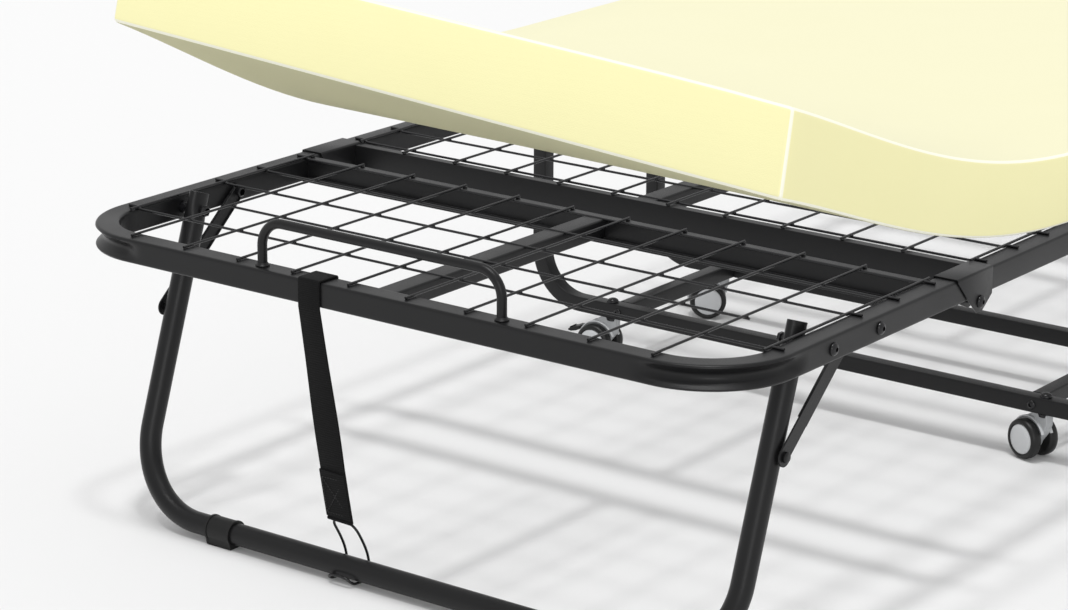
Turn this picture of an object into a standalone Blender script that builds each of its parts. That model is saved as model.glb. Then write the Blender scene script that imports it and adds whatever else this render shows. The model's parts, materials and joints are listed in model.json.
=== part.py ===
"""Folding rollaway bed: a wheeled base, two deck halves that fold up, end sections that fold down,
U-legs with hook struts, wire-mesh decks and a foam mattress whose foot end is lifted.

X runs along the bed with the foot end at -X, Y across it, Z up. The floor is z = 0.
Each half is built at the foot end and mirrored to the head end."""

import math

import bmesh
import bpy
from mathutils import Matrix, Vector

# ---- overall sizes ----
LENGTH = 2.000
WIDTH = 0.900
DECK_HEIGHT = 0.3545
GAP = 0.0003

# ---- deck frame ----
RAIL = 0.027
CORNER_RADIUS = 0.100
END_SECTION = 0.4607
HINGE_DROP = 0.0055
RAIL_TO_HINGE = 0.0112
BEAM_THICK = 0.012
BEAM_LIP = 0.011
LIP_THICK = 0.003
BEAM_TO_HINGE_END = 0.0587
BEAM_TO_HINGE_INNER = 0.0143
PIVOT_BEAM_SETBACK = 0.0194
CENTRE_BAR_WIDE = 0.027
CENTRE_BAR_TALL = 0.021
FLUSH = 0.0005

# ---- wire mesh ----
WIRE = 0.004
WIRE_COUNT = 12
OUTER_WIRE_IN = 0.0002
END_CROSS_FIRST = 0.1018
END_CROSS_LAST = 0.0717
END_CROSS_COUNT = 5
SHORT_CROSS = 1
INNER_CROSS_EDGE = 0.0356
INNER_CROSS_COUNT = 6
CENTRE_CROSS_PITCH = 0.065
CROSS_END_IN = 0.012

# ---- hinges and bolts ----
BOLT_R = 0.004
BOLT_CLEAR = 0.0006
BOLT_SIDES = 8
HEAD_R = 0.0070
HEAD_TALL = 0.0040
NUT_R = 0.0065
NUT_TALL = 0.0048
SHOULDER_R = 0.0075
SHEET = 0.0017
COVER_BACK = 0.0477
COVER_AHEAD = 0.0250
LUG_R = 0.009
LUG_THICK = 0.004

# ---- leg and strut ----
LEG_R = 0.0125
LEG_CLEAR = 0.0015
LEG_PIVOT = 0.1731
LEG_FOOT = 0.0609
LEG_BEND = 0.095
LEG_ABOVE_PIVOT = 0.020
GLIDE_UNDER = 0.004
GLIDE_WIDE = 0.036
GLIDE_TO_BEND = 0.0405
GLIDE_WALL = 0.0027
STUD_DOWN = 0.1153
STUD_R = 0.0035
STUD_HEAD_R = 0.006
STUD_HEAD_TALL = 0.0032
STRUT_PIVOT = 0.2616
STRUT_CLEAR = 0.0018
STRUT_THICK = 0.0042
STRUT_HALF = 0.009
STRUT_HOOK_R = 0.0105
NOTCH_R = 0.0045
NOTCH_OUT = 0.03

# ---- mattress stop and strap ----
STOP_WIRE_GAPS = 2
STOP_PAST_GAP_MIDDLE = 0.0058
STOP_TALL = 0.050
STOP_R = 0.0053
STOP_BEND = 0.028
STRAP_PAST_GAP_MIDDLE = 0.0101
STRAP_WIDE = 0.038
STRAP_THICK = 0.002
STRAP_END = (0.050, 0.0735)
HOOK_R = 0.0015
HOOK_HALF = 0.0165

# ---- wheeled base ----
POST_SPACING = 0.2572
POST = 0.020
POST_INSET = 0.0028
BASE_BEND = 0.065
EAR = 0.003
EAR_HALF = 0.012
EAR_REACH = 0.0336
EAR_BELOW_DECK = 0.0025
SEAT_CLEAR = 0.007
RAIL_PAST_PIVOT = 0.009
LINK_TO_CASTER = 0.0142
CENTRE_FROM_PIVOT = 0.022

# ---- casters ----
WHEEL_R = 0.025
WHEEL_WIDE = 0.0145
WHEEL_IN = 0.0065
AXLE_R = 0.003
CASTER_TO_BEND = 0.0495
TRAIL = 0.020
STEM_R = 0.0045
STEM_HEAD_R = 0.0075
STEM_HEAD_TALL = 0.0055
FORK_THICK = 0.012
FORK_NECK = 0.0068
HOOD_CLEAR = 0.0012
HOOD_WALL = 0.0023
CASTER_TURNS = {"foot_near": 70.0, "foot_far": 92.0, "head_near": 80.0, "head_far": 126.0}
BRAKED = ("foot_far", "head_near")

# ---- mattress ----
FOAM_THICK = 0.080
FOAM_END_THICK = 0.095
FOAM_INSET = 0.005
FOAM_FROM_END = 0.062
FOAM_MIDDLE = 0.180
LIFT = 0.2477
TWIST = 0.040
FOAM_LENGTHS = 12
FOAM_STRIPS = 4
POCKET_CLEAR = 0.003

# ---- derived places ----
HALF = LENGTH / 2
RAIL_BOTTOM = DECK_HEIGHT - RAIL
RAIL_Z = DECK_HEIGHT - RAIL / 2
RAIL_Y = WIDTH / 2 - RAIL / 2
RAIL_IN = WIDTH / 2 - RAIL
HINGE_X = -HALF + END_SECTION
HINGE_Z = RAIL_BOTTOM - HINGE_DROP
FOLD_X = -POST_SPACING / 2
WIRE_Z = DECK_HEIGHT + GAP
OUTER_WIRE_Y = RAIL_IN - OUTER_WIRE_IN
CROSS_REACH = WIDTH / 2 - CROSS_END_IN
SPAN = 2 * OUTER_WIRE_Y / (WIRE_COUNT - 1)
WIRES_Y = [OUTER_WIRE_Y - SPAN * i for i in range(WIRE_COUNT)]
END_CROSS_PITCH = (END_SECTION - END_CROSS_FIRST - END_CROSS_LAST) / (END_CROSS_COUNT - 1)
STOP_HALF = STOP_WIRE_GAPS * SPAN + STOP_PAST_GAP_MIDDLE
STRAP_Y = SPAN + STRAP_PAST_GAP_MIDDLE
INNER_CROSS_PITCH = (FOLD_X - HINGE_X - 2 * INNER_CROSS_EDGE) / (INNER_CROSS_COUNT - 1)
BORE_R = BOLT_R + BOLT_CLEAR
STRUT_OUT = RAIL_IN - STRUT_CLEAR
STRUT_IN = STRUT_OUT - STRUT_THICK
LEG_Y = STRUT_IN - LEG_CLEAR - LEG_R
LEG_Z = GLIDE_UNDER + LEG_R
LEG_TOP = Vector((-HALF + LEG_PIVOT, 0, RAIL_Z))
LEG_BASE = Vector((-HALF + LEG_FOOT, 0, LEG_Z))
LEG_LINE = (LEG_TOP - LEG_BASE).normalized()
LEG_HIGH = (LEG_TOP + LEG_LINE * LEG_ABOVE_PIVOT).z + LEG_LINE.x * LEG_R
GLIDE_Y = LEG_Y - LEG_BEND - GLIDE_TO_BEND
STUD = LEG_TOP - LEG_LINE * STUD_DOWN
HOOD_OUT = WHEEL_R + HOOD_CLEAR + HOOD_WALL
BASE_TOP = WHEEL_R + HOOD_OUT + FORK_NECK + GAP + POST
POST_Y = RAIL_Y - POST_INSET
POST_TO_PIVOT = RAIL / 2 + SEAT_CLEAR
CASTER_Y = POST_Y - BASE_BEND - CASTER_TO_BEND
LINK_Y = CASTER_Y - LINK_TO_CASTER
FOAM_Z = WIRE_Z + WIRE + GAP
FOAM_WIDE = WIDTH - 2 * FOAM_INSET


# ---- materials ----
def material(name, colour, roughness, metallic=0.0):
    made = bpy.data.materials.new(name)
    made.use_nodes = True
    shader = made.node_tree.nodes["Principled BSDF"]
    shader.inputs["Base Color"].default_value = (*colour, 1.0)
    shader.inputs["Roughness"].default_value = roughness
    shader.inputs["Metallic"].default_value = metallic
    return made


def make_materials():
    return {
        "powder_black": material("powder_black", (0.022, 0.022, 0.023), 0.42),
        "wire_black": material("wire_black", (0.030, 0.030, 0.031), 0.36),
        "bolt_black": material("bolt_black", (0.012, 0.012, 0.013), 0.30, 0.6),
        "glide_black": material("glide_black", (0.016, 0.016, 0.016), 0.55),
        "webbing": material("webbing", (0.010, 0.010, 0.011), 0.85),
        "caster_grey": material("caster_grey", (0.42, 0.43, 0.44), 0.38),
        "tyre": material("tyre", (0.012, 0.012, 0.013), 0.50),
        "foam": material("foam", (0.93, 0.89, 0.64), 0.95),
    }


# ---- making and joining solids ----
def finish(name, bm, mat, smooth=False):
    bmesh.ops.recalc_face_normals(bm, faces=bm.faces)
    mesh = bpy.data.meshes.new(name)
    bm.to_mesh(mesh)
    bm.free()
    mesh.materials.append(mat)
    if smooth:
        mesh.shade_smooth()
        mesh.set_sharp_from_angle(angle=math.radians(35))
    made = bpy.data.objects.new(name, mesh)
    bpy.context.scene.collection.objects.link(made)
    return made


def box(name, mat, low, high):
    bm = bmesh.new()
    bmesh.ops.create_cube(bm, size=1.0)
    low, high = Vector(low), Vector(high)
    bmesh.ops.scale(bm, vec=high - low, verts=bm.verts)
    bmesh.ops.translate(bm, vec=(low + high) / 2, verts=bm.verts)
    return finish(name, bm, mat)


def plate(name, mat, outline, y0, y1):
    """A flat outline in X and Z, given thickness from y0 to y1."""
    bm = bmesh.new()
    face = bm.faces.new([bm.verts.new((x, y0, z)) for x, z in outline])
    grown = bmesh.ops.extrude_face_region(bm, geom=[face])
    moved = [v for v in grown["geom"] if isinstance(v, bmesh.types.BMVert)]
    bmesh.ops.translate(bm, vec=(0, y1 - y0, 0), verts=moved)
    return finish(name, bm, mat)


def turned(name, mat, profile, centre, axis, sides=16):
    """A solid of revolution: profile is (distance along axis, radius) from one end to the other."""
    axis = Vector(axis).normalized()
    across = Vector((1, 0, 0)) if abs(axis.z) > 0.5 else Vector((0, 0, -1))
    centre = Vector(centre)
    bm = bmesh.new()
    rings = []
    for along, radius in profile:
        ring = []
        for i in range(sides):
            spoke = Matrix.Rotation(math.tau * i / sides, 3, axis) @ across
            ring.append(bm.verts.new(centre + axis * along + spoke * radius))
        rings.append(ring)
    for a, b in zip(rings, rings[1:]):
        for i in range(sides):
            j = (i + 1) % sides
            bm.faces.new((a[i], a[j], b[j], b[i]))
    bm.faces.new(rings[0])
    bm.faces.new(rings[-1])
    return finish(name, bm, mat, smooth=True)


def bent(points, radius, steps=6):
    """The points with every corner between them rounded to radius."""
    points = [Vector(p) for p in points]
    path = [points[0]]
    for before, corner, after in zip(points, points[1:], points[2:]):
        back = (before - corner).normalized()
        on = (after - corner).normalized()
        half = back.angle(on) / 2
        reach = radius / math.tan(half)
        start = corner + back * reach
        centre = corner + (back + on).normalized() * (radius / math.sin(half))
        turn = math.pi - 2 * half
        hinge = (corner - start).cross(on).normalized()
        for i in range(steps + 1):
            path.append(centre + Matrix.Rotation(turn * i / steps, 3, hinge) @ (start - centre))
    path.append(points[-1])
    return path


def square(wide, tall=None):
    a, b = wide / 2, (tall or wide) / 2
    return [(-a, -b), (a, -b), (a, b), (-a, b)]


def circle(radius, sides):
    turns = [math.tau * i / sides for i in range(sides)]
    return [(radius * math.cos(t), radius * math.sin(t)) for t in turns]


def swept(name, mat, section, path, normal, smooth=False):
    """A section carried along a path that lies in one plane; its first axis is the plane's normal."""
    normal = Vector(normal).normalized()
    bm = bmesh.new()
    rings = []
    for i, here in enumerate(path):
        back = (here - path[max(i - 1, 0)]).normalized()
        on = (path[min(i + 1, len(path) - 1)] - here).normalized()
        along = (back + on).normalized()
        stretch = 1 / max(along.dot(on if i == 0 else back), 0.5)
        side = normal.cross(along)
        rings.append([bm.verts.new(here + normal * u + side * (v * stretch)) for u, v in section])
    count = len(section)
    for a, b in zip(rings, rings[1:]):
        for i in range(count):
            j = (i + 1) % count
            bm.faces.new((a[i], a[j], b[j], b[i]))
    bm.faces.new(rings[0])
    bm.faces.new(rings[-1])
    return finish(name, bm, mat, smooth)


def wire_path(name, mat, points, radius, cyclic):
    curve = bpy.data.curves.new(name, "CURVE")
    curve.dimensions = "3D"
    curve.bevel_depth = radius
    curve.bevel_resolution = 2
    curve.use_fill_caps = True
    spline = curve.splines.new("POLY")
    spline.points.add(len(points) - 1)
    for point, place in zip(spline.points, points):
        point.co = (*place, 1)
    spline.use_cyclic_u = cyclic
    curve.materials.append(mat)
    made = bpy.data.objects.new(name, curve)
    bpy.context.scene.collection.objects.link(made)
    return made


def combined(body, others, operation="UNION"):
    """Joins the others to body, or cuts them from it, and keeps only body."""
    for other in others:
        step = body.modifiers.new(other.name, "BOOLEAN")
        step.operation = operation
        step.solver = "EXACT"
        step.object = other
    graph = bpy.context.evaluated_depsgraph_get()
    result = bpy.data.meshes.new_from_object(body.evaluated_get(graph))
    body.modifiers.clear()
    body.data = result
    for other in others:
        bpy.data.objects.remove(other)
    return body


def drilled(body, x, z, radius=BORE_R):
    """Bores body across the whole bed's width along Y."""
    reach = [(-WIDTH, radius), (WIDTH, radius)]
    bore = turned("bore", body.data.materials[0], reach, (x, 0, z), (0, 1, 0), BOLT_SIDES)
    return combined(body, [bore], "DIFFERENCE")


def mirrored(source, name, axis):
    """A copy of source, on the other side of X = 0 or Y = 0."""
    mesh = source.data.copy()
    scale = Vector((1, 1, 1))
    scale[axis] = -1
    mesh.transform(Matrix.Diagonal((*scale, 1)))
    mesh.flip_normals()
    made = bpy.data.objects.new(name, mesh)
    bpy.context.scene.collection.objects.link(made)
    return made


def both_sides(near):
    """The far-side twin of a near-side piece."""
    return mirrored(near, near.name.replace("near", "far"), 1)


# ---- wire mesh ----
def lattice(name, mat, long_wires, cross_wires):
    """Flat welded mesh. long_wires are (y, x0, x1) and cross_wires are (x, y0, y1)."""
    h = WIRE / 2
    bars = [(x0, x1, y - h, y + h) for y, x0, x1 in long_wires]
    bars += [(x - h, x + h, y0, y1) for x, y0, y1 in cross_wires]
    xs = sorted({round(v, 6) for bar in bars for v in bar[:2]})
    ys = sorted({round(v, 6) for bar in bars for v in bar[2:]})
    bm = bmesh.new()
    corners = {}

    def corner(i, j):
        if (i, j) not in corners:
            corners[i, j] = bm.verts.new((xs[i], ys[j], WIRE_Z))
        return corners[i, j]

    for i, (x0, x1) in enumerate(zip(xs, xs[1:])):
        for j, (y0, y1) in enumerate(zip(ys, ys[1:])):
            x, y = (x0 + x1) / 2, (y0 + y1) / 2
            if any(a < x < b and c < y < d for a, b, c, d in bars):
                bm.faces.new((corner(i, j), corner(i + 1, j), corner(i + 1, j + 1), corner(i, j + 1)))
    grown = bmesh.ops.extrude_face_region(bm, geom=list(bm.faces))
    moved = [v for v in grown["geom"] if isinstance(v, bmesh.types.BMVert)]
    bmesh.ops.translate(bm, vec=(0, 0, WIRE), verts=moved)
    flat = [e for e in bm.edges if len(e.link_faces) == 2 and e.calc_face_angle(0) < 0.01]
    bmesh.ops.dissolve_edges(bm, edges=[e for e in flat if abs(e.verts[0].co.z - e.verts[1].co.z) > h])
    return finish(name, mat=mat, bm=bm)


def end_mesh(mats):
    start = -HALF + 0.0092
    corner = -HALF + CORNER_RADIUS - 0.012
    stop = HINGE_X - BEAM_TO_HINGE_END
    long_wires = []
    for i, y in enumerate(WIRES_Y):
        outer = i in (0, WIRE_COUNT - 1)
        long_wires.append((y, corner if outer else start, stop))
    cross_wires = []
    for i in range(END_CROSS_COUNT):
        reach = WIRES_Y[1] + WIRE / 2 if i == SHORT_CROSS else CROSS_REACH
        cross_wires.append((-HALF + END_CROSS_FIRST + END_CROSS_PITCH * i, -reach, reach))
    return lattice("foot_end_mesh", mats["wire_black"], long_wires, cross_wires)


def inner_mesh(mats):
    start = HINGE_X + BEAM_TO_HINGE_INNER - 0.0008
    past_cover = HINGE_X + COVER_AHEAD + 0.0012
    stop = FOLD_X - PIVOT_BEAM_SETBACK - 0.0008
    long_wires = []
    for i, y in enumerate(WIRES_Y):
        outer = i in (0, WIRE_COUNT - 1)
        long_wires.append((y, past_cover if outer else start, stop))
    cross_wires = []
    for i in range(INNER_CROSS_COUNT):
        x = HINGE_X + INNER_CROSS_EDGE + INNER_CROSS_PITCH * i
        cross_wires.append((x, -CROSS_REACH, CROSS_REACH))
    return lattice("foot_inner_mesh", mats["wire_black"], long_wires, cross_wires)


def centre_mesh(mats):
    reach = -FOLD_X - CENTRE_FROM_PIVOT - 0.002
    long_wires = [(y, -reach, reach) for y in WIRES_Y]
    cross_wires = [(x, -CROSS_REACH, CROSS_REACH) for x in (-CENTRE_CROSS_PITCH, 0.0, CENTRE_CROSS_PITCH)]
    return lattice("centre_mesh", mats["wire_black"], long_wires, cross_wires)


# ---- welded frames ----
def cross_beam(mat, x0, lip_side):
    """A narrow upright beam between the rails, with a lip along its lower edge on one side."""
    x1 = x0 + BEAM_THICK
    beam = box("beam", mat, (x0, -RAIL_Y, RAIL_BOTTOM + FLUSH), (x1, RAIL_Y, DECK_HEIGHT - FLUSH))
    lip0 = x0 - BEAM_LIP if lip_side < 0 else x1 - 0.001
    lip1 = lip0 + BEAM_LIP + 0.001
    low = RAIL_BOTTOM + 2 * FLUSH
    return [beam, box("lip", mat, (lip0, -RAIL_Y - 0.001, low), (lip1, RAIL_Y + 0.001, low + LIP_THICK))]


def centre_bar(mat, x0, x1):
    w = CENTRE_BAR_WIDE / 2
    top = DECK_HEIGHT - 2 * FLUSH
    return box("bar", mat, (x0, -w, top - CENTRE_BAR_TALL), (x1, w, top))


def arc_points(x, z, radius, first, last, steps=8):
    """Points on a circle about (x, z), from one angle to another in degrees."""
    turns = [math.radians(first + (last - first) * i / steps) for i in range(steps + 1)]
    return [(x + radius * math.cos(t), z + radius * math.sin(t)) for t in turns]


def end_frame(mats):
    mat = mats["powder_black"]
    rail_end = HINGE_X - RAIL_TO_HINGE
    end_x = -HALF + RAIL / 2
    corners = [(rail_end, -RAIL_Y, RAIL_Z), (end_x, -RAIL_Y, RAIL_Z)]
    corners += [(end_x, RAIL_Y, RAIL_Z), (rail_end, RAIL_Y, RAIL_Z)]
    path = bent(corners, CORNER_RADIUS - RAIL / 2, 7)
    frame = swept("foot_end_frame", mat, square(RAIL), path, (0, 0, 1))
    lug = [(HINGE_X - 0.0407, RAIL_Z), (HINGE_X - 0.0357, RAIL_BOTTOM + 2 * FLUSH)]
    lug += arc_points(HINGE_X, HINGE_Z, LUG_R, -120, 90)
    lug += [(HINGE_X - 0.0137, RAIL_Z)]
    beam_x = HINGE_X - BEAM_TO_HINGE_END - BEAM_THICK
    extras = cross_beam(mat, beam_x, -1)
    extras.append(centre_bar(mat, end_x, beam_x + BEAM_THICK / 2))
    for side in (-1, 1):
        y = side * RAIL_Y
        extras.append(plate("lug", mat, lug, y - LUG_THICK / 2, y + LUG_THICK / 2))
    combined(frame, extras)
    drilled(frame, HINGE_X, HINGE_Z)
    drilled(frame, LEG_TOP.x, LEG_TOP.z)
    return drilled(frame, -HALF + STRUT_PIVOT, RAIL_Z)


def hinge_cover(mat, side):
    """Sheet folded over both rails at the hinge and welded to the inner rail."""
    top = DECK_HEIGHT + GAP + SHEET
    back, ahead = HINGE_X - COVER_BACK, HINGE_X + COVER_AHEAD
    cheek = [(back, top), (back, top - 0.004), (HINGE_X - 0.0240, RAIL_BOTTOM - 0.001)]
    cheek += arc_points(HINGE_X - 0.002, HINGE_Z, 0.0112, 215, 320, 5)
    cheek += [(ahead, RAIL_BOTTOM - 0.001), (ahead, top)]
    out0, in1 = WIDTH / 2 + GAP, RAIL_IN - GAP
    spans = [(out0, out0 + SHEET), (in1 - SHEET, in1)]
    made = []
    for y0, y1 in spans:
        low, high = sorted((side * y0, side * y1))
        made.append(plate("cheek", mat, cheek, low, high))
    low, high = sorted((side * (in1 - SHEET + 0.0002), side * (out0 + SHEET - 0.0002)))
    first, last = (back + 0.0002, low, DECK_HEIGHT + GAP), (ahead - 0.0002, high, top - 0.0001)
    made.append(box("top", mat, first, last))
    low, high = sorted((side * (WIDTH / 2 - 0.001), side * (out0 + 0.0009)))
    made.append(box("weld", mat, (ahead - 0.009, low, RAIL_Z - 0.007), (ahead - 0.001, high, RAIL_Z + 0.008)))
    return made


def inner_frame(mats):
    mat = mats["powder_black"]
    start, stop = HINGE_X + RAIL_TO_HINGE + 0.0001, FOLD_X + RAIL_PAST_PIVOT
    rails = []
    for side in (-1, 1):
        low, high = sorted((side * RAIL_IN, side * WIDTH / 2))
        rails.append(box("foot_inner_frame", mat, (start, low, RAIL_BOTTOM), (stop, high, DECK_HEIGHT)))
    frame, other = rails
    frame.name = "foot_inner_frame"
    beam_x = HINGE_X + BEAM_TO_HINGE_INNER
    pivot_x = FOLD_X - PIVOT_BEAM_SETBACK - BEAM_THICK
    extras = cross_beam(mat, beam_x, 1)
    extras += cross_beam(mat, pivot_x, -1)
    extras.append(centre_bar(mat, beam_x + BEAM_THICK / 2, pivot_x + BEAM_THICK / 2))
    extras.append(other)
    extras += hinge_cover(mat, -1)
    extras += hinge_cover(mat, 1)
    combined(frame, extras)
    drilled(frame, HINGE_X, HINGE_Z)
    return drilled(frame, FOLD_X, RAIL_Z)


def centre_frame(mats):
    mat = mats["powder_black"]
    reach = -FOLD_X - CENTRE_FROM_PIVOT
    rails = []
    for side in (-1, 1):
        low, high = sorted((side * RAIL_IN, side * WIDTH / 2))
        rails.append(box("rail", mat, (-reach, low, RAIL_BOTTOM), (reach, high, DECK_HEIGHT)))
    frame, other = rails
    frame.name = "centre_frame"
    extras = [other]
    inset = CENTRE_FROM_PIVOT - EAR_REACH
    for x0 in (-reach - inset + 2 * GAP, reach + inset - 2 * GAP - BEAM_THICK):
        z0, z1 = RAIL_BOTTOM + FLUSH, DECK_HEIGHT - FLUSH
        extras.append(box("beam", mat, (x0, -RAIL_Y, z0), (x0 + BEAM_THICK, RAIL_Y, z1)))
    return combined(frame, extras)


def mattress_stop(mats):
    x, foot = -HALF + RAIL / 2, DECK_HEIGHT + GAP
    top = DECK_HEIGHT + STOP_TALL
    corners = [(x, -STOP_HALF, foot), (x, -STOP_HALF, top), (x, STOP_HALF, top), (x, STOP_HALF, foot)]
    path = bent(corners, STOP_BEND, 5)
    return swept("foot_mattress_stop", mats["powder_black"], circle(STOP_R, 8), path, (1, 0, 0), True)


# ---- legs ----
def leg(mats):
    mat = mats["powder_black"]
    top = LEG_TOP + LEG_LINE * LEG_ABOVE_PIVOT
    down, up = Vector((0, -LEG_Y, 0)), Vector((0, LEG_Y, 0))
    path = bent([top + down, LEG_BASE + down, LEG_BASE + up, top + up], LEG_BEND, 5)
    tube = swept("foot_leg", mat, circle(LEG_R, 10), path, LEG_LINE.cross(Vector((0, 1, 0))), True)
    studs = []
    for side in (-1, 1):
        head = STRUT_OUT + 0.0006
        profile = [(LEG_Y, STUD_R), (head, STUD_R), (head, STUD_HEAD_R), (head + STUD_HEAD_TALL, STUD_HEAD_R)]
        studs.append(turned("stud", mat, profile, (STUD.x, 0, STUD.z), (0, side, 0), 8))
    combined(tube, studs)
    return drilled(tube, LEG_TOP.x, LEG_TOP.z)


def glide(mats):
    """A plastic ring round the leg's floor bar, with a flat pad under it."""
    x, z, r = LEG_BASE.x, LEG_Z, LEG_R + GLIDE_WALL
    outline = arc_points(x, z, r, -35, 215, 10) + [(x - 0.0105, 0.0), (x + 0.0105, 0.0)]
    half = GLIDE_WIDE / 2
    made = plate("foot_glide_near", mats["glide_black"], outline, -GLIDE_Y - half, -GLIDE_Y + half)
    through = [(-WIDTH, LEG_R + GAP), (0, LEG_R + GAP)]
    bore = turned("bore", mats["glide_black"], through, (x, 0, z), (0, 1, 0), 20)
    return combined(made, [bore], "DIFFERENCE")


def strut(mats):
    """A flat strut from the rail to the leg's stud, with an open notch that hooks over the stud."""
    x0, z0 = -HALF + STRUT_PIVOT, RAIL_Z
    lean = math.degrees(math.atan2(z0 - STUD.z, x0 - STUD.x))
    outline = arc_points(x0, z0, STRUT_HALF, lean - 90, lean + 90, 6)
    outline += arc_points(STUD.x, STUD.z, STRUT_HOOK_R, lean + 90, lean + 270, 6)
    made = plate("foot_strut_near", mats["powder_black"], outline, -STRUT_OUT, -STRUT_IN)
    notch = arc_points(STUD.x, STUD.z, NOTCH_R, 78, 212)
    for edge, way in ((212, -58), (78, -12)):
        x, z = arc_points(STUD.x, STUD.z, NOTCH_R, edge, edge, 1)[0]
        dx, dz = arc_points(0, 0, NOTCH_OUT, way, way, 1)[0]
        notch.append((x + dx, z + dz))
    cut = plate("notch", mats["powder_black"], notch, -WIDTH / 2, 0)
    combined(made, [cut], "DIFFERENCE")
    return drilled(made, x0, z0)


# ---- bolts ----
def bolt(name, mats, x, z, inside, outside, shoulder=None):
    """A near-side bolt along Y: its head outside, its nut inside, and a spacer between two pieces."""
    profile = [(inside - NUT_TALL, NUT_R), (inside, NUT_R), (inside, BOLT_R)]
    if shoulder:
        first, last = shoulder
        profile += [(first, BOLT_R), (first, SHOULDER_R), (last, SHOULDER_R), (last, BOLT_R)]
    profile += [(outside, BOLT_R), (outside, HEAD_R), (outside + HEAD_TALL * 0.6, HEAD_R)]
    profile += [(outside + HEAD_TALL, HEAD_R * 0.6)]
    return turned(name, mats["bolt_black"], profile, (x, 0, z), (0, -1, 0), BOLT_SIDES)


def bolts(mats):
    rail_out, rail_in = WIDTH / 2 + GAP, RAIL_IN
    leg_in, leg_out = LEG_Y - LEG_R - GAP, LEG_Y + LEG_R + GAP
    cover_in, cover_out = rail_in - GAP - SHEET, rail_out + SHEET
    ear_in, ear_out = rail_in - GAP - EAR, rail_out + EAR
    strut_x = -HALF + STRUT_PIVOT
    leg_gap = (leg_out, rail_in - GAP)
    strut_gap = (STRUT_OUT + GAP, rail_in - GAP)
    return [
        bolt("foot_leg_bolt_near", mats, LEG_TOP.x, RAIL_Z, leg_in, rail_out, leg_gap),
        bolt("foot_strut_bolt_near", mats, strut_x, RAIL_Z, STRUT_IN - GAP, rail_out, strut_gap),
        bolt("foot_hinge_bolt_near", mats, HINGE_X, HINGE_Z, cover_in - GAP, cover_out + GAP),
        bolt("foot_fold_bolt_near", mats, FOLD_X, RAIL_Z, ear_in - GAP, ear_out + GAP),
    ]


# ---- strap ----
def strap(mats):
    x0, x1 = -HALF + RAIL + 0.0015, -HALF - 0.0015
    low, top = RAIL_BOTTOM - 0.0013, DECK_HEIGHT + 0.0017
    corners = [(x0, low), (x0, top), (x1, top), (x1, low), (-HALF + STRAP_END[0], STRAP_END[1])]
    path = [Vector((x, STRAP_Y, z)) for x, z in corners]
    return swept("strap", mats["webbing"], square(STRAP_WIDE, STRAP_THICK), path, (0, 1, 0))


def strap_hook(mats):
    """A closed wire loop that passes behind and under the leg's floor bar and turns up in front."""
    low, r = GLIDE_UNDER - GAP - HOOK_R, LEG_R
    side = [(STRAP_END[0] + 0.0015, STRAP_END[1] - 0.0035), (LEG_FOOT + r + 0.0031, LEG_Z + 0.006)]
    side += [(LEG_FOOT + r + 0.0023, LEG_Z - 0.6 * r), (LEG_FOOT + r - 0.0040, low)]
    side += [(LEG_FOOT - r + 0.0035, low), (LEG_FOOT - r - 0.0025, low + 0.0038)]
    front = (LEG_FOOT - r - 0.0040, LEG_Z - 0.0035)
    points = [(x, HOOK_HALF, z) for x, z in side] + [(front[0], HOOK_HALF * 0.5, front[1])]
    points += [(front[0], -HOOK_HALF * 0.5, front[1])] + [(x, -HOOK_HALF, z) for x, z in reversed(side)]
    places = [(x - HALF, y + STRAP_Y, z) for x, y, z in points]
    return wire_path("strap_hook", mats["bolt_black"], places, HOOK_R, True)


# ---- wheeled base ----
def base_frame(mats):
    """A square-tube U: the floor bar, its two posts, and the clevis that each deck rail pivots in."""
    mat = mats["powder_black"]
    x, low = FOLD_X, BASE_TOP - POST / 2
    seat = RAIL_Z - POST_TO_PIVOT
    corners = [(x, -POST_Y, seat - 0.0015), (x, -POST_Y, low), (x, POST_Y, low), (x, POST_Y, seat - 0.0015)]
    frame = swept("base_frame_foot", mat, square(POST), bent(corners, BASE_BEND, 5), (1, 0, 0))
    extras = []
    x0, x1 = x - EAR_HALF, x + EAR_REACH
    ear_top = DECK_HEIGHT - EAR_BELOW_DECK
    out0, in1 = WIDTH / 2 + GAP, RAIL_IN - GAP
    for side in (-1, 1):
        for y0, y1 in ((out0, out0 + EAR), (in1 - EAR, in1)):
            a, b = sorted((side * y0, side * y1))
            extras.append(box("ear", mat, (x0, a, seat - EAR + 0.0002), (x1, b, ear_top)))
        a, b = sorted((side * (in1 - EAR + 0.0002), side * (out0 + EAR - 0.0002)))
        extras.append(box("seat", mat, (x0 + 0.0002, a, seat - EAR), (x1 - 0.0002, b, seat)))
    combined(frame, extras)
    drilled(frame, x, RAIL_Z)
    stems = []
    through = [(0, STEM_R + GAP), (BASE_TOP + 0.01, STEM_R + GAP)]
    for side in (-1, 1):
        stems.append(turned("bore", mat, through, (x, side * CASTER_Y, 0), (0, 0, 1), 12))
    return combined(frame, stems, "DIFFERENCE")


def base_link(mats):
    x = -FOLD_X - POST / 2 - GAP
    y0, y1 = -LINK_Y - POST / 2, -LINK_Y + POST / 2
    return box("base_link_near", mats["powder_black"], (-x, y0, BASE_TOP - POST), (x, y1, BASE_TOP))


# ---- casters ----
def turn_to(made, x, y, degrees):
    """Stands a caster piece, built with its trail along +X at the origin, under its stem."""
    made.data.transform(Matrix.Translation((x, y, 0)) @ Matrix.Rotation(math.radians(degrees), 4, "Z"))
    return made


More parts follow.
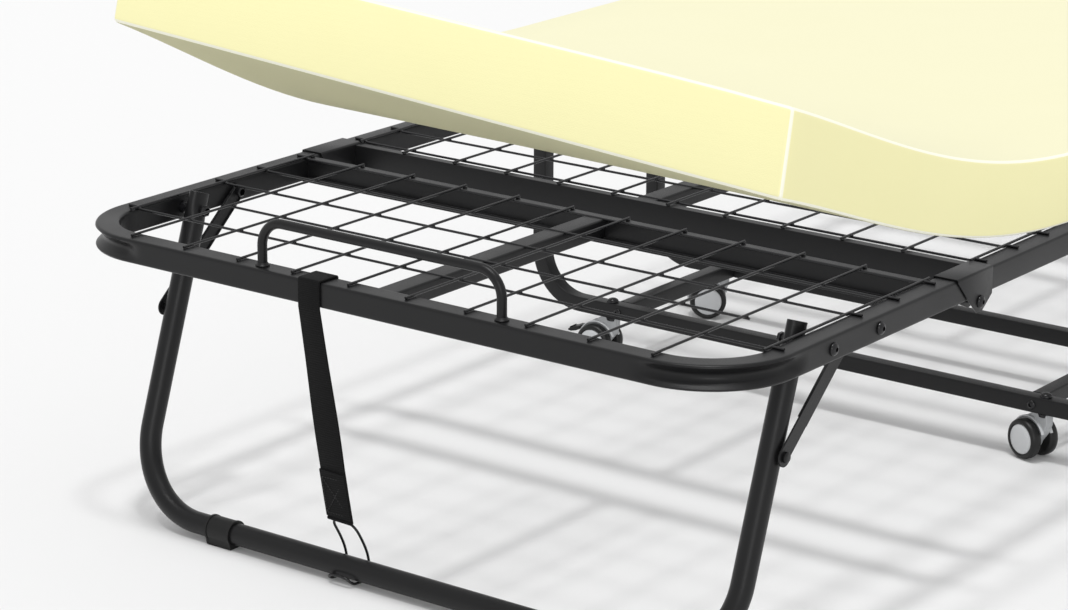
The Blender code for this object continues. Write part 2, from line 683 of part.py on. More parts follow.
def caster_fork(name, mats):
    mat = mats["caster_grey"]
    top = BASE_TOP - POST - GAP
    half = FORK_THICK / 2
    cheek = [(-0.009, top), (-0.009, WHEEL_R + 0.019), (TRAIL - 0.018, WHEEL_R + 0.001)]
    cheek += [(TRAIL - 0.008, WHEEL_R - 0.011), (TRAIL + 0.007, WHEEL_R - 0.011)]
    cheek += [(TRAIL + 0.014, WHEEL_R + 0.003), (TRAIL + 0.012, WHEEL_R + HOOD_OUT - 0.0055)]
    cheek += [(TRAIL - 0.008, top)]
    fork = plate(name, mat, cheek, -half, half)
    inner = WHEEL_R + HOOD_CLEAR
    hood = arc_points(TRAIL, WHEEL_R, HOOD_OUT, 12, 150, 7)
    hood += arc_points(TRAIL, WHEEL_R, inner, 150, 12, 7)
    wide = WHEEL_IN + WHEEL_WIDE
    extras = [plate("hood", mat, hood, -wide, wide)]
    stem_top = BASE_TOP + GAP
    stem = [(top - 0.003, 0.0085), (top - 0.0001, 0.0085), (top - 0.0001, STEM_R), (stem_top, STEM_R)]
    stem += [(stem_top, STEM_HEAD_R), (stem_top + STEM_HEAD_TALL * 0.6, STEM_HEAD_R)]
    stem += [(stem_top + STEM_HEAD_TALL, STEM_HEAD_R * 0.55)]
    extras.append(turned("stem", mat, stem, (0, 0, 0), (0, 0, 1), 12))
    combined(fork, extras)
    return drilled(fork, TRAIL, WHEEL_R, AXLE_R + GAP)


def caster_wheels(name, mats):
    """Two wheels fixed on one axle."""
    out = WHEEL_IN + WHEEL_WIDE
    bevel = 0.003
    one = [(WHEEL_IN, AXLE_R), (WHEEL_IN, WHEEL_R), (out - bevel, WHEEL_R), (out, WHEEL_R - bevel)]
    profile = [(-along, radius) for along, radius in reversed(one)] + one
    return turned(name, mats["tyre"], profile, (TRAIL, 0, WHEEL_R), (0, 1, 0), 20)


def brake_lever(name, mats):
    x, z = TRAIL + HOOD_OUT, WHEEL_R
    outline = [(x + 0.0005, z + 0.0115), (x + 0.0075, z + 0.0085), (x + 0.0155, z + 0.0075)]
    outline += [(x + 0.0160, z + 0.0105), (x + 0.0085, z + 0.0140), (x + 0.0010, z + 0.0160)]
    return plate(name, mats["glide_black"], outline, -0.009, 0.009)


def casters(mats):
    made = {}
    for place, degrees in CASTER_TURNS.items():
        end, side = place.split("_")
        x = FOLD_X if end == "foot" else -FOLD_X
        y = -CASTER_Y if side == "near" else CASTER_Y
        made["caster_" + place] = [turn_to(caster_fork("caster_fork_" + place, mats), x, y, degrees)]
        made["wheels_" + place] = [turn_to(caster_wheels("caster_wheels_" + place, mats), x, y, degrees)]
        if place in BRAKED:
            made["brake_" + place] = [turn_to(brake_lever("brake_lever_" + place, mats), x, y, degrees)]
    return made


# ---- mattress ----
def lifted(flat):
    """Where a point of the flat mattress lies when its foot end is lifted: the turn about the lift
    line grows smoothly towards the bed's end and is steeper on the far side, and the foam's free end
    stands thicker than the part that is lain on."""
    out = (-flat.x - FOAM_MIDDLE) / (HALF - FOAM_FROM_END - FOAM_MIDDLE)
    thick = FOAM_THICK + (FOAM_END_THICK - FOAM_THICK) * out
    arm = Vector((flat.x + FOAM_MIDDLE, 0, (flat.z - FOAM_Z) * thick / FOAM_THICK))
    lift = LIFT + TWIST * flat.y / (FOAM_WIDE / 2)
    placed = arm.copy()
    for _ in range(8):
        t = min(max(-placed.x / (HALF - FOAM_MIDDLE), 0), 1)
        placed = Matrix.Rotation(lift * t * t * (3 - 2 * t), 3, "Y") @ arm
    return Vector((placed.x - FOAM_MIDDLE, flat.y, placed.z + FOAM_Z))


def mattress_foot(mats):
    """The foot part, cut into short lengths and strips whose corners go where the lift puts them."""
    low = (-HALF + FOAM_FROM_END, -FOAM_WIDE / 2, FOAM_Z)
    slab = box("mattress_foot", mats["foam"], low, (-FOAM_MIDDLE - GAP, FOAM_WIDE / 2, FOAM_Z + FOAM_THICK))
    bm = bmesh.new()
    bm.from_mesh(slab.data)
    for axis, parts in ((0, FOAM_LENGTHS), (1, FOAM_STRIPS)):
        along = [e for e in bm.edges if abs(e.verts[0].co[axis] - e.verts[1].co[axis]) > GAP]
        bmesh.ops.subdivide_edges(bm, edges=along, cuts=parts - 1, use_grid_fill=True)
    for vert in bm.verts:
        vert.co = lifted(vert.co)
    bmesh.ops.triangulate(bm, faces=bm.faces)
    bm.to_mesh(slab.data)
    bm.free()
    return slab


def mattress_middle(mats):
    low = (-FOAM_MIDDLE, -FOAM_WIDE / 2, FOAM_Z)
    return box("mattress_middle", mats["foam"], low, (FOAM_MIDDLE, FOAM_WIDE / 2, FOAM_Z + FOAM_THICK))


def mattress_head(mats):
    """The head part, with a pressed-in pocket over each leg's top end."""
    mat = mats["foam"]
    low = (FOAM_MIDDLE + GAP, -FOAM_WIDE / 2, FOAM_Z)
    slab = box("mattress_head", mat, low, (HALF - FOAM_FROM_END, FOAM_WIDE / 2, FOAM_Z + FOAM_THICK))
    pockets = []
    reach = math.hypot(LEG_ABOVE_PIVOT, LEG_R) + 0.004
    x0, x1 = HALF - LEG_PIVOT - reach, HALF - LEG_PIVOT + reach
    z0, z1 = FOAM_Z - 0.01, LEG_HIGH + POCKET_CLEAR
    for side in (-1, 1):
        a, b = sorted((side * (LEG_Y - LEG_R - 0.004), side * (LEG_Y + LEG_R + 0.004)))
        pockets.append(box("pocket", mat, (x0, a, z0), (x1, b, z1)))
    return combined(slab, pockets, "DIFFERENCE")


# ---- putting it together ----
def hold(name, place, pieces):
    """An empty on a joint's axis, which its pieces hang from."""
    empty = bpy.data.objects.new(name, None)
    empty.location = place
    bpy.context.scene.collection.objects.link(empty)
    for piece in pieces:
        piece.parent = empty
        piece.matrix_parent_inverse = Matrix.Translation(place).inverted()


def half_bodies(mats):
    """The foot half's pieces by body, with the place of each body's joint axis."""
    near = bolts(mats)
    leg_bolt, strut_bolt, hinge_bolt, fold_bolt = [[b, both_sides(b)] for b in near]
    near_glide, near_strut = glide(mats), strut(mats)
    end = [end_frame(mats), end_mesh(mats), mattress_stop(mats)] + leg_bolt + strut_bolt
    return {
        "foot_half": ((FOLD_X, 0, RAIL_Z), [inner_frame(mats), inner_mesh(mats)] + hinge_bolt),
        "foot_end": ((HINGE_X, 0, HINGE_Z), end),
        "foot_leg": (tuple(LEG_TOP), [leg(mats), near_glide, both_sides(near_glide)]),
        "foot_strut_near": ((-HALF + STRUT_PIVOT, 0, RAIL_Z), [near_strut]),
        "foot_strut_far": ((-HALF + STRUT_PIVOT, 0, RAIL_Z), [both_sides(near_strut)]),
        "base_foot": ((FOLD_X, 0, 0), [base_frame(mats)] + fold_bolt),
    }


def main():
    for old in list(bpy.data.objects):
        bpy.data.objects.remove(old)
    mats = make_materials()
    for body, (place, pieces) in half_bodies(mats).items():
        twins = [mirrored(p, p.name.replace("foot", "head"), 0) for p in pieces]
        if body == "foot_end":
            pieces = pieces + [strap(mats), strap_hook(mats)]
        if body == "foot_half":
            twins.append(mattress_head(mats))
        hold(body, place, pieces)
        hold(body.replace("foot", "head"), (-place[0], place[1], place[2]), twins)
    link = base_link(mats)
    centre = [link, both_sides(link), centre_frame(mats), centre_mesh(mats), mattress_middle(mats)]
    hold("base_centre", (0, 0, 0), centre)
    hold("mattress_lift", (-FOAM_MIDDLE, 0, FOAM_Z), [mattress_foot(mats)])
    for body, pieces in casters(mats).items():
        hold(body, (0, 0, 0), pieces)


main()
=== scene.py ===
"""Looks of a folding rollaway bed: black powder-coated frame, welded wire decks and a foam mattress."""

import json
import math

import bmesh
import bpy
from mathutils import Matrix, Vector

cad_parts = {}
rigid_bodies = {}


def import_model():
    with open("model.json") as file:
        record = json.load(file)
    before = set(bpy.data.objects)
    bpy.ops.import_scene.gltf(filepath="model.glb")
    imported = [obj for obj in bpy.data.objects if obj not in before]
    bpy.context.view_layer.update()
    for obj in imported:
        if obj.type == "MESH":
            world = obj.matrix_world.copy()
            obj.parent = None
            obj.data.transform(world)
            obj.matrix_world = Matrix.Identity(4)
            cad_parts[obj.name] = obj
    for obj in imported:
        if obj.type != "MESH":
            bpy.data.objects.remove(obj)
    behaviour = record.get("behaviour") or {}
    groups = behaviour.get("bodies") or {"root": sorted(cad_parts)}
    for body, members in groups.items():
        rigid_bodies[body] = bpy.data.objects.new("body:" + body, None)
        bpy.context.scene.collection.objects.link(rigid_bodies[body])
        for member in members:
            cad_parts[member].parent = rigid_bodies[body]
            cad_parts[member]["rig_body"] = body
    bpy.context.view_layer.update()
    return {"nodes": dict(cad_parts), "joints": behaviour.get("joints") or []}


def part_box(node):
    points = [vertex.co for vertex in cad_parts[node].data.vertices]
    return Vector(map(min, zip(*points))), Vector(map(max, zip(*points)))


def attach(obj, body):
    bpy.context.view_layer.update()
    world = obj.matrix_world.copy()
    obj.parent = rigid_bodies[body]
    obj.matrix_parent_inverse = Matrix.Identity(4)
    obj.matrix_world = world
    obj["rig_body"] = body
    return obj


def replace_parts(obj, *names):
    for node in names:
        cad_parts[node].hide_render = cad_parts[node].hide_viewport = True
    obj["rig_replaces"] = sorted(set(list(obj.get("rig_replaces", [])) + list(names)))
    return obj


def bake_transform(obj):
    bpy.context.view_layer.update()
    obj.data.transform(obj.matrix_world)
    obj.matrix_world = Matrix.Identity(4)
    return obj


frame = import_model()
axle_of = {joint["name"]: Vector(joint["pos_m"]) for joint in frame["joints"]}


# ---- camera, light and floor ----
# A long lens looks down on the foot end from the near side. A row of three soft lamps overhead throws
# the bed's blurred shadow on a pale studio floor, a shadowless fill lamp lights the sides that face
# the lens, and an even pale room lights the rest.
camera_place = Vector((-3.479, -2.083, 1.3245))
camera_ahead = Vector((0.76358, 0.57694, -0.28997)).normalized()
camera_roll = math.radians(0.27)

level = camera_ahead.cross(Vector((0, 0, 1))).normalized()
upright = level.cross(camera_ahead)
camera_right = level * math.cos(camera_roll) + upright * math.sin(camera_roll)
camera_up = camera_right.cross(camera_ahead)
lens = bpy.data.cameras.new("camera")
lens.lens = 111.05
lens.sensor_width = 36.0
lens.clip_end = 60.0
camera = bpy.data.objects.new("camera", lens)
camera.matrix_world = Matrix.Translation(camera_place) @ Matrix(
    (camera_right, camera_up, -camera_ahead)
).transposed().to_4x4()
bpy.context.scene.collection.objects.link(camera)
bpy.context.scene.camera = camera
bpy.context.scene.view_settings.view_transform = "Standard"


def studio_lamp(name, stands_at, energy, softness, shadow):
    """A far lamp that shines from a direction. Softness is its width in degrees."""
    lamp = bpy.data.lights.new(name, "SUN")
    lamp.energy = energy
    lamp.angle = math.radians(softness)
    lamp.use_shadow = shadow
    holder = bpy.data.objects.new(name, lamp)
    holder.rotation_euler = Vector(stands_at).to_track_quat("Z", "Y").to_euler()
    bpy.context.scene.collection.objects.link(holder)


studio_lamp("overhead_lamp_far", (-0.20, 0.16, 1.0), 0.34, 5.0, True)
studio_lamp("overhead_lamp_middle", (-0.16, -0.04, 1.0), 0.80, 5.0, True)
studio_lamp("overhead_lamp_near", (-0.12, -0.26, 1.0), 0.36, 5.0, True)
studio_lamp("fill_lamp", (-0.80, -0.65, 0.35), 0.48, 20.0, False)

room = bpy.data.worlds.new("pale_room")
room.use_nodes = True
room.node_tree.nodes["Background"].inputs["Color"].default_value = (1.0, 1.0, 1.0, 1.0)
room.node_tree.nodes["Background"].inputs["Strength"].default_value = 0.71
bpy.context.scene.world = room


def filled(node, values):
    """Gives a node's inputs their values; an output socket given as a value is linked to the input."""
    for name, value in values.items():
        if isinstance(value, bpy.types.NodeSocket):
            node.id_data.links.new(value, node.inputs[name])
        else:
            node.inputs[name].default_value = value
    return node


def plain_finish(name, values):
    """A material whose own shader has the values given. Returns it with its node tree and shader."""
    finish = bpy.data.materials.new(name)
    finish.use_nodes = True
    tree = finish.node_tree
    return finish, tree, filled(tree.nodes["Principled BSDF"], values)


FLOOR_HALF = 30.0
FLOOR_Z = -0.0004
paper, _, _ = plain_finish(
    "studio_paper", {"Base Color": (0.79, 0.79, 0.79, 1.0), "Roughness": 0.95, "Specular IOR Level": 0.0}
)
bm = bmesh.new()
floor_place = Matrix.Translation((0, 0, FLOOR_Z))
bmesh.ops.create_grid(bm, x_segments=2, y_segments=2, size=FLOOR_HALF, matrix=floor_place)
floor_mesh = bpy.data.meshes.new("studio_floor")
bm.to_mesh(floor_mesh)
bm.free()
floor_mesh.materials.append(paper)
studio_floor = bpy.data.objects.new("studio_floor", floor_mesh)
bpy.context.scene.collection.objects.link(studio_floor)


# ---- end rails ----
# The rim of each end section is one 27 mm square steel tube, bent to a U and powder coated black.
# The bender's roller presses a deep groove into the outer wall round both corners.
RAIL = 0.027
CORNER = 0.100
GROOVE_DEEP = 0.0085
GROOVE_HALF = 0.0105
GROOVE_SHARP = 1.2
GROOVE_PAST = 14
GROOVE_FADE = 16
WALL_BAND = 0.0045
SHORT_RUN = 0.006
SHORT_RUNS = 5
RAIL_TO_HINGE = 0.0112
RAIL_ROUNDING = 0.0028
deck_low, deck_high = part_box("foot_end_frame")
deck_top, end_x = deck_high.z, deck_low.x
rail_z, rail_y = deck_top - RAIL / 2, deck_high.y - RAIL / 2
hinge = axle_of["foot_end_fold"]


def new_node(tree, kind, values=None):
    """A new shader node of a kind in a tree, with its inputs filled."""
    return filled(tree.nodes.new("ShaderNode" + kind), values or {})


def mixed(tree, share, first, second):
    """The colour between two others, by a share."""
    mix = new_node(tree, "Mix")
    mix.data_type = "RGBA"
    return filled(mix, {"Factor": share, "A": first, "B": second}).outputs["Result"]


def grain_group():
    """Fine surface grain and slow patches, for paint, plastic and rubber alike."""
    group = bpy.data.node_groups.new("surface_grain", "ShaderNodeTree")
    for in_out, kind, names in (
        ("INPUT", "Color", ("Colour", "Patch Colour")),
        ("INPUT", "Float", ("Grain Scale", "Grain Depth", "Least Roughness", "Most Roughness")),
        ("OUTPUT", "Color", ("Colour",)),
        ("OUTPUT", "Float", ("Roughness",)),
        ("OUTPUT", "Vector", ("Normal",)),
    ):
        for name in names:
            group.interface.new_socket(name, in_out=in_out, socket_type="NodeSocket" + kind)
    given = group.nodes.new("NodeGroupInput").outputs
    out = group.nodes.new("NodeGroupOutput")
    place = new_node(group, "TexCoord").outputs["Object"]
    grain = new_node(group, "TexNoise", {"Detail": 3.0, "Vector": place, "Scale": given["Grain Scale"]})
    bump = new_node(group, "Bump", {"Strength": 0.6, "Distance": given["Grain Depth"]})
    filled(bump, {"Height": grain.outputs["Fac"]})
    patch = new_node(group, "TexNoise", {"Scale": 14.0, "Detail": 4.0, "Vector": place}).outputs["Fac"]
    shine = new_node(group, "MapRange", {"Value": patch, "From Min": 0.3, "From Max": 0.7})
    filled(shine, {"To Min": given["Least Roughness"], "To Max": given["Most Roughness"]})
    tint = mixed(group, patch, given["Colour"], given["Patch Colour"])
    filled(out, {"Colour": tint, "Roughness": shine.outputs["Result"], "Normal": bump.outputs["Normal"]})
    return group


surface_grain = grain_group()


def grained(name, colour, patch, roughness, grain, depth, metallic=0.0, specular=0.5):
    """A finish with its own shader, whose colour, roughness and normal come from the grain group."""
    finish, tree, shader = plain_finish(name, {"Metallic": metallic, "Specular IOR Level": specular})
    surface = tree.nodes.new("ShaderNodeGroup")
    surface.node_tree = surface_grain
    filled(surface, {
        "Colour": (*colour, 1.0), "Patch Colour": (*patch, 1.0), "Grain Scale": grain, "Grain Depth": depth,
        "Least Roughness": roughness[0], "Most Roughness": roughness[1],
    })
    look = surface.outputs
    filled(shader, {"Base Color": look["Colour"], "Roughness": look["Roughness"], "Normal": look["Normal"]})
    return finish


powder_coat = grained(
    "powder_coat_black", (0.0065, 0.0065, 0.0070), (0.0090, 0.0090, 0.0095), (0.30, 0.40), 1500, 0.0002,
    specular=0.28,
)


def soft_edges(piece, width, segments, degrees):
    """Rounds the edges of a piece that are sharper than an angle."""
    edge = piece.modifiers.new("soft_edges", "BEVEL")
    edge.width, edge.segments = width, segments
    edge.limit_method = "ANGLE"
    edge.angle_limit = math.radians(degrees)
    return edge


def finished(name, bm, finish, body, slot, soften=0.0, stands_for=(), sharp=35.0):
    """Makes a piece of a bmesh, rounds its edges, and fixes it to the body it moves with."""
    bmesh.ops.remove_doubles(bm, verts=bm.verts, dist=1e-6)
    bmesh.ops.recalc_face_normals(bm, faces=bm.faces)
    mesh = bpy.data.meshes.new(name)
    bm.to_mesh(mesh)
    bm.free()
    mesh.materials.append(finish)
    mesh.shade_smooth()
    piece = bpy.data.objects.new(name, mesh)
    bpy.context.scene.collection.objects.link(piece)
    if soften:
        soft_edges(piece, soften, 3, sharp).harden_normals = True
    else:
        mesh.set_sharp_from_angle(angle=math.radians(sharp))
    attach(piece, body)
    if stands_for:
        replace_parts(piece, *stands_for)
    return piece


def steel(name, bm, body, soften=0.0, stands_for=(), sharp=35.0):
    """A powder-coated piece."""
    return finished(name, bm, powder_coat, body, "powder_black", soften, stands_for, sharp)


def repeated(piece, ends=True, sides=False):
    """Mirrors a foot-end piece to the head end, and a near-side piece to the far side as well."""
    body, nodes = piece["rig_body"], list(piece.get("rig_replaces", []))
    for along, across in ((-1, 1), (1, -1), (-1, -1)):
        if (along < 0 and not ends) or (across < 0 and not sides):
            continue
        words = []
        for word in [piece.name, body] + nodes:
            word = word.replace("foot", "head") if along < 0 else word
            words.append(word.replace("near", "far") if across < 0 else word)
        copy = piece.copy()
        copy.name = words[0]
        copy.data = piece.data.copy()
        copy.data.transform(Matrix.Diagonal((along, across, 1, 1)))
        if along * across < 0:
            copy.data.flip_normals()
        bpy.context.scene.collection.objects.link(copy)
        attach(copy, words[1])
        if nodes:
            del copy["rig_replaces"]
            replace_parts(copy, *words[2:])


def across_to(place, heading):
    """The matrix that stands a shape drawn flat at the origin at a place, facing along heading."""
    heading = Vector(heading).normalized()
    side = Vector((0, 0, 1)).cross(heading)
    side = side.normalized() if side.length > 0.01 else Vector((0, 1, 0))
    turn = Matrix((side, heading.cross(side), heading)).transposed()
    return Matrix.Translation(place) @ turn.to_4x4()


def round_end(bm, place, heading, radius, sides=20):
    """The closed start of a round tube. Returns the edges that the tube grows from."""
    stand = across_to(place, heading)
    made = bmesh.ops.create_circle(bm, cap_ends=True, segments=sides, radius=radius, matrix=stand)
    return list({edge for vert in made["verts"] for edge in vert.link_edges})


def box_end(bm, place, heading, wide, tall, rounding, cuts=0):
    """The closed start of a box tube: wide is its level side and tall its upright one."""
    size = across_to(place, heading) @ Matrix.Diagonal((wide, tall, 1, 1))
    made = bmesh.ops.create_grid(bm, x_segments=1, y_segments=1, size=0.5, matrix=size)
    square = made["verts"][0].link_faces[0]
    bmesh.ops.bevel(
        bm, geom=list(square.verts), offset=rounding, segments=4, affect="VERTICES", profile=0.5, material=-1
    )

    def corners_here(face):
        return len(face.verts) if (face.calc_center_median() - Vector(place)).length < 1e-4 else 0

    if cuts:
        flats = [e for e in max(bm.faces, key=corners_here).edges if e.calc_length() > min(wide, tall) * 0.4]
        bmesh.ops.subdivide_edges(bm, edges=flats, cuts=cuts)
    return list(max(bm.faces, key=corners_here).edges)


def bent(bm, edges, place, heading, moves):
    """Grows a tube from its start as a bender would, and closes its end: ("run", length) goes straight
    on, and ("bend", towards, radius, degrees, steps) turns towards a side."""
    place, heading = Vector(place), Vector(heading).normalized()
    for move in moves:
        if move[0] == "run":
            grown = bmesh.ops.extrude_edge_only(bm, edges=edges)["geom"]
            verts = [item for item in grown if isinstance(item, bmesh.types.BMVert)]
            bmesh.ops.translate(bm, vec=heading * move[1], verts=verts)
            edges = [item for item in grown if isinstance(item, bmesh.types.BMEdge)]
            place = place + heading * move[1]
            continue
        _, towards, radius, degrees, steps = move
        towards = Vector(towards)
        towards = (towards - heading * towards.dot(heading)).normalized()
        centre, axis = place + towards * radius, heading.cross(towards)
        angle = math.radians(degrees)
        grown = bmesh.ops.spin(
            bm, geom=edges, cent=centre, axis=axis, angle=angle, steps=steps, use_duplicate=False
        )["geom_last"]
        edges = [item for item in grown if isinstance(item, bmesh.types.BMEdge)]
        turn = Matrix.Rotation(angle, 3, axis)
        place, heading = centre + turn @ (place - centre), turn @ heading
    bmesh.ops.edgeloop_fill(bm, edges=edges)


def u_moves(down, across, radius, first, last, steps):
    """The moves of a U: down one side, round a quarter bend, across, round the other and back up."""
    return [
        *down, ("bend", first, radius, 90, steps), *across, ("bend", last, radius, 90, steps), *reversed(down)
    ]


def eased(share):
    """A share kept between 0 and 1 that starts and ends gently."""
    share = min(max(share, 0), 1)
    return share * share * (3 - 2 * share)


def pressed_groove(bm):
    """Pushes the outer wall in round both corners, deepest at mid height, fading out at each end."""
    for vert in bm.verts:
        side = 1 if vert.co.y > 0 else -1
        centre = Vector((end_x + CORNER, side * (deck_high.y - CORNER), vert.co.z))
        arm = vert.co - centre
        drop = abs(vert.co.z - rail_z) / GROOVE_HALF
        if arm.length < CORNER - WALL_BAND or drop >= 1:
            continue
        angle = math.degrees(math.atan2(side * arm.y, -arm.x))
        fade = eased(min(angle + GROOVE_PAST, 90 + GROOVE_PAST - angle) / GROOVE_FADE)
        vert.co -= arm.normalized() * GROOVE_DEEP * fade * math.cos(drop * math.pi / 2) ** GROOVE_SHARP


rail_bend = CORNER - RAIL / 2
side_run = hinge.x - RAIL_TO_HINGE - end_x - CORNER
start = (hinge.x - RAIL_TO_HINGE, -rail_y, rail_z)
bm = bmesh.new()
mouth = box_end(bm, start, (-1, 0, 0), RAIL, RAIL, RAIL_ROUNDING, cuts=7)
by_bend, by_bend_long = [("run", SHORT_RUN)] * SHORT_RUNS, SHORT_RUN * SHORT_RUNS
side = [("run", side_run - by_bend_long), *by_bend]
end = [*by_bend, ("run", 2 * (deck_high.y - CORNER) - 2 * by_bend_long), *by_bend]
bent(bm, mouth, start, (-1, 0, 0), u_moves(side, end, rail_bend, (0, 1, 0), (1, 0, 0), 20))
pressed_groove(bm)
repeated(steel("foot_end_rails", bm, "foot_end", stands_for=["foot_end_frame"], sharp=50))


# ---- hinge lugs ----
# A thick steel plate with a rounded eye is welded inside the end of each side rail and drops to the
# hinge bolt, just below the rail.
LUG_THICK = 0.004
LUG_EYE = 0.009


def arc(x, z, radius, first, last, steps=12):
    """Points round a centre in the upright plane along the bed, between two angles in degrees."""
    turns = [math.radians(first + (last - first) * i / steps) for i in range(steps + 1)]
    return [(x + radius * math.cos(t), z + radius * math.sin(t)) for t in turns]


def cut_plate(bm, outline, y0, y1):
    """A plate cut to an outline in the upright plane along the bed, between two places across it."""
    face = bm.faces.new([bm.verts.new((x, y0, z)) for x, z in outline])
    grown = bmesh.ops.extrude_face_region(bm, geom=[face])["geom"]
    verts = [item for item in grown if isinstance(item, bmesh.types.BMVert)]
    bmesh.ops.translate(bm, vec=(0, y1 - y0, 0), verts=verts)


bm = bmesh.new()
lug = [(hinge.x - 0.040, rail_z), (hinge.x - 0.035, deck_top - RAIL + 0.001)]
lug += arc(hinge.x, hinge.z, LUG_EYE, -120, 90) + [(hinge.x - 0.0137, rail_z)]
cut_plate(bm, lug, -rail_y - LUG_THICK / 2, -rail_y + LUG_THICK / 2)
repeated(steel("foot_lug_near", bm, "foot_end", 0.0005), sides=True)


# ---- cross beams ----
# Where the sections meet, each ends in a narrow pressed beam between the rails. It stands on edge,
# with a flat top strip and a thin lip turned out along its lower edge.
BEAM = 0.012
LIP = 0.011
LIP_THICK = 0.003
fold = axle_of["foot_fold"]
beam_top = deck_top - 0.0005
beam_low = deck_top - RAIL + 0.0005
rail_inner = deck_high.y - RAIL
beam_half = rail_inner + 0.001


def cross_beam(name, x0, lip_side, body):
    """A beam that starts at a place along the bed, with its lip on one side."""
    x1 = x0 + BEAM
    if lip_side < 0:
        outline = [(x0, beam_top), (x0, beam_low + LIP_THICK), (x0 - LIP, beam_low + LIP_THICK)]
        outline += [(x0 - LIP, beam_low), (x1, beam_low), (x1, beam_top)]
    else:
        outline = [(x0, beam_top), (x0, beam_low), (x1 + LIP, beam_low), (x1 + LIP, beam_low + LIP_THICK)]
        outline += [(x1, beam_low + LIP_THICK), (x1, beam_top)]
    bm = bmesh.new()
    cut_plate(bm, outline, -beam_half, beam_half)
    repeated(steel(name, bm, body, 0.0009))


BEAM_BEHIND_HINGE = 0.0587
BEAM_AHEAD_OF_HINGE = 0.0143
BEAM_BEFORE_FOLD = 0.0194
end_beam_x = hinge.x - BEAM_BEHIND_HINGE - BEAM
inner_beam_x = hinge.x + BEAM_AHEAD_OF_HINGE
fold_beam_x = fold.x - BEAM_BEFORE_FOLD - BEAM
cross_beam("foot_end_beam", end_beam_x, -1, "foot_end")
cross_beam("foot_inner_beam", inner_beam_x, 1, "foot_half")
cross_beam("foot_fold_beam", fold_beam_x, -1, "foot_half")


# ---- centre bars ----
# A rectangular tube runs down the middle of each section, under the wires, and is welded between the
# end rail or beam and the next beam.
BAR_WIDE = 0.027
BAR_TALL = 0.021
BAR_INTO = 0.002


def box_bar(bm, place, wide, tall, rounding, long):
    """A straight box tube along the bed."""
    bent(bm, box_end(bm, place, (1, 0, 0), wide, tall, rounding), place, (1, 0, 0), [("run", long)])


def centre_bar(name, x0, x1, body):
    """A section's bar, between two places along the bed."""
    bm = bmesh.new()
    box_bar(bm, (x0, 0, deck_top - 0.001 - BAR_TALL / 2), BAR_WIDE, BAR_TALL, 0.0024, x1 - x0)
    repeated(steel(name, bm, body, sharp=50))


centre_bar("foot_end_centre_bar", end_x + RAIL - BAR_INTO, end_beam_x + BAR_INTO, "foot_end")
centre_bar("foot_inner_centre_bar", inner_beam_x + BEAM - BAR_INTO, fold_beam_x + BAR_INTO, "foot_half")


# ---- inner rails and hinge covers ----
# The inner section has a straight square tube on each side. A thin steel sheet folded over both
# rails covers each hinge: it is welded to the inner rail and its cheeks are cut at a slant.
COVER_BACK = 0.0477
COVER_AHEAD = 0.0250
COVER_SHEET = 0.0017
COVER_FOLD = 0.0025
COVER_BELOW_HINGE = 0.0112
RAIL_PAST_FOLD = 0.009
inner_x = hinge.x + RAIL_TO_HINGE
bm = bmesh.new()
box_bar(bm, (inner_x, -rail_y, rail_z), RAIL, RAIL, RAIL_ROUNDING, fold.x + RAIL_PAST_FOLD - inner_x)
inner_rail = steel("foot_inner_rail_near", bm, "foot_half", stands_for=["foot_inner_frame"], sharp=50)
repeated(inner_rail, sides=True)


def folded_sheet(bm, low, high, radius, open_top):
    """A sheet bent to a channel: its floor or top between two upright cheeks, with round folds."""
    low, high = Vector(low), Vector(high)
    size = Matrix.Translation((low + high) / 2) @ Matrix.Diagonal((*(high - low), 1))
    bmesh.ops.create_cube(bm, size=1.0, matrix=size)
    bm.normal_update()
    gone = [f for f in bm.faces if abs(f.normal.x) > 0.9 or f.normal.z * (1 if open_top else -1) > 0.9]
    bmesh.ops.delete(bm, geom=gone, context="FACES")
    fold_z = low.z if open_top else high.z
    folds = [e for e in bm.edges if all(abs(v.co.z - fold_z) < 1e-5 for v in e.verts)]
    folds = [e for e in folds if abs(e.verts[0].co.y - e.verts[1].co.y) < 1e-5]
    bmesh.ops.bevel(bm, geom=folds, offset=radius, segments=5, affect="EDGES", profile=0.5, material=-1)


def cut_corner(bm, first, second):
    """Cuts a sheet along a line in the upright plane, and drops what is on the line's right."""
    (x0, z0), (x1, z1) = first, second
    away = Vector((z1 - z0, 0, x0 - x1)).normalized()
    every = list(bm.verts) + list(bm.edges) + list(bm.faces)
    bmesh.ops.bisect_plane(bm, geom=every, plane_co=(x0, 0, z0), plane_no=away, clear_outer=True)


def sheet_piece(name, bm, body, thick):
    """Gives a bare sheet its thickness, inwards, and softens its cut edges."""
    piece = steel(name, bm, body, sharp=40)
    wall = piece.modifiers.new("sheet_thickness", "SOLIDIFY")
    wall.thickness, wall.offset = thick, -1.0
    soft_edges(piece, 0.0004, 2, 50)
    return piece


cover_top = deck_top + 0.0003 + COVER_SHEET
bm = bmesh.new()
cover_low = (hinge.x - COVER_BACK, -deck_high.y - 0.002, hinge.z - COVER_BELOW_HINGE)
cover_high = (hinge.x + COVER_AHEAD, -rail_inner + 0.002, cover_top)
folded_sheet(bm, cover_low, cover_high, COVER_FOLD, open_top=False)
slant_top, slant_tip = (cover_low[0], cover_top - 0.004), (hinge.x - 0.0062, cover_low[2])
slant_low = (hinge.x - 0.0231, deck_top - RAIL - 0.0008)
cut_corner(bm, slant_top, slant_low)
cut_corner(bm, slant_low, slant_tip)
cut_corner(bm, (hinge.x + 0.0073, hinge.z - 0.0095), (hinge.x + COVER_AHEAD, deck_top - RAIL - 0.0018))
repeated(sheet_piece("foot_hinge_cover_near", bm, "foot_half", COVER_SHEET), sides=True)


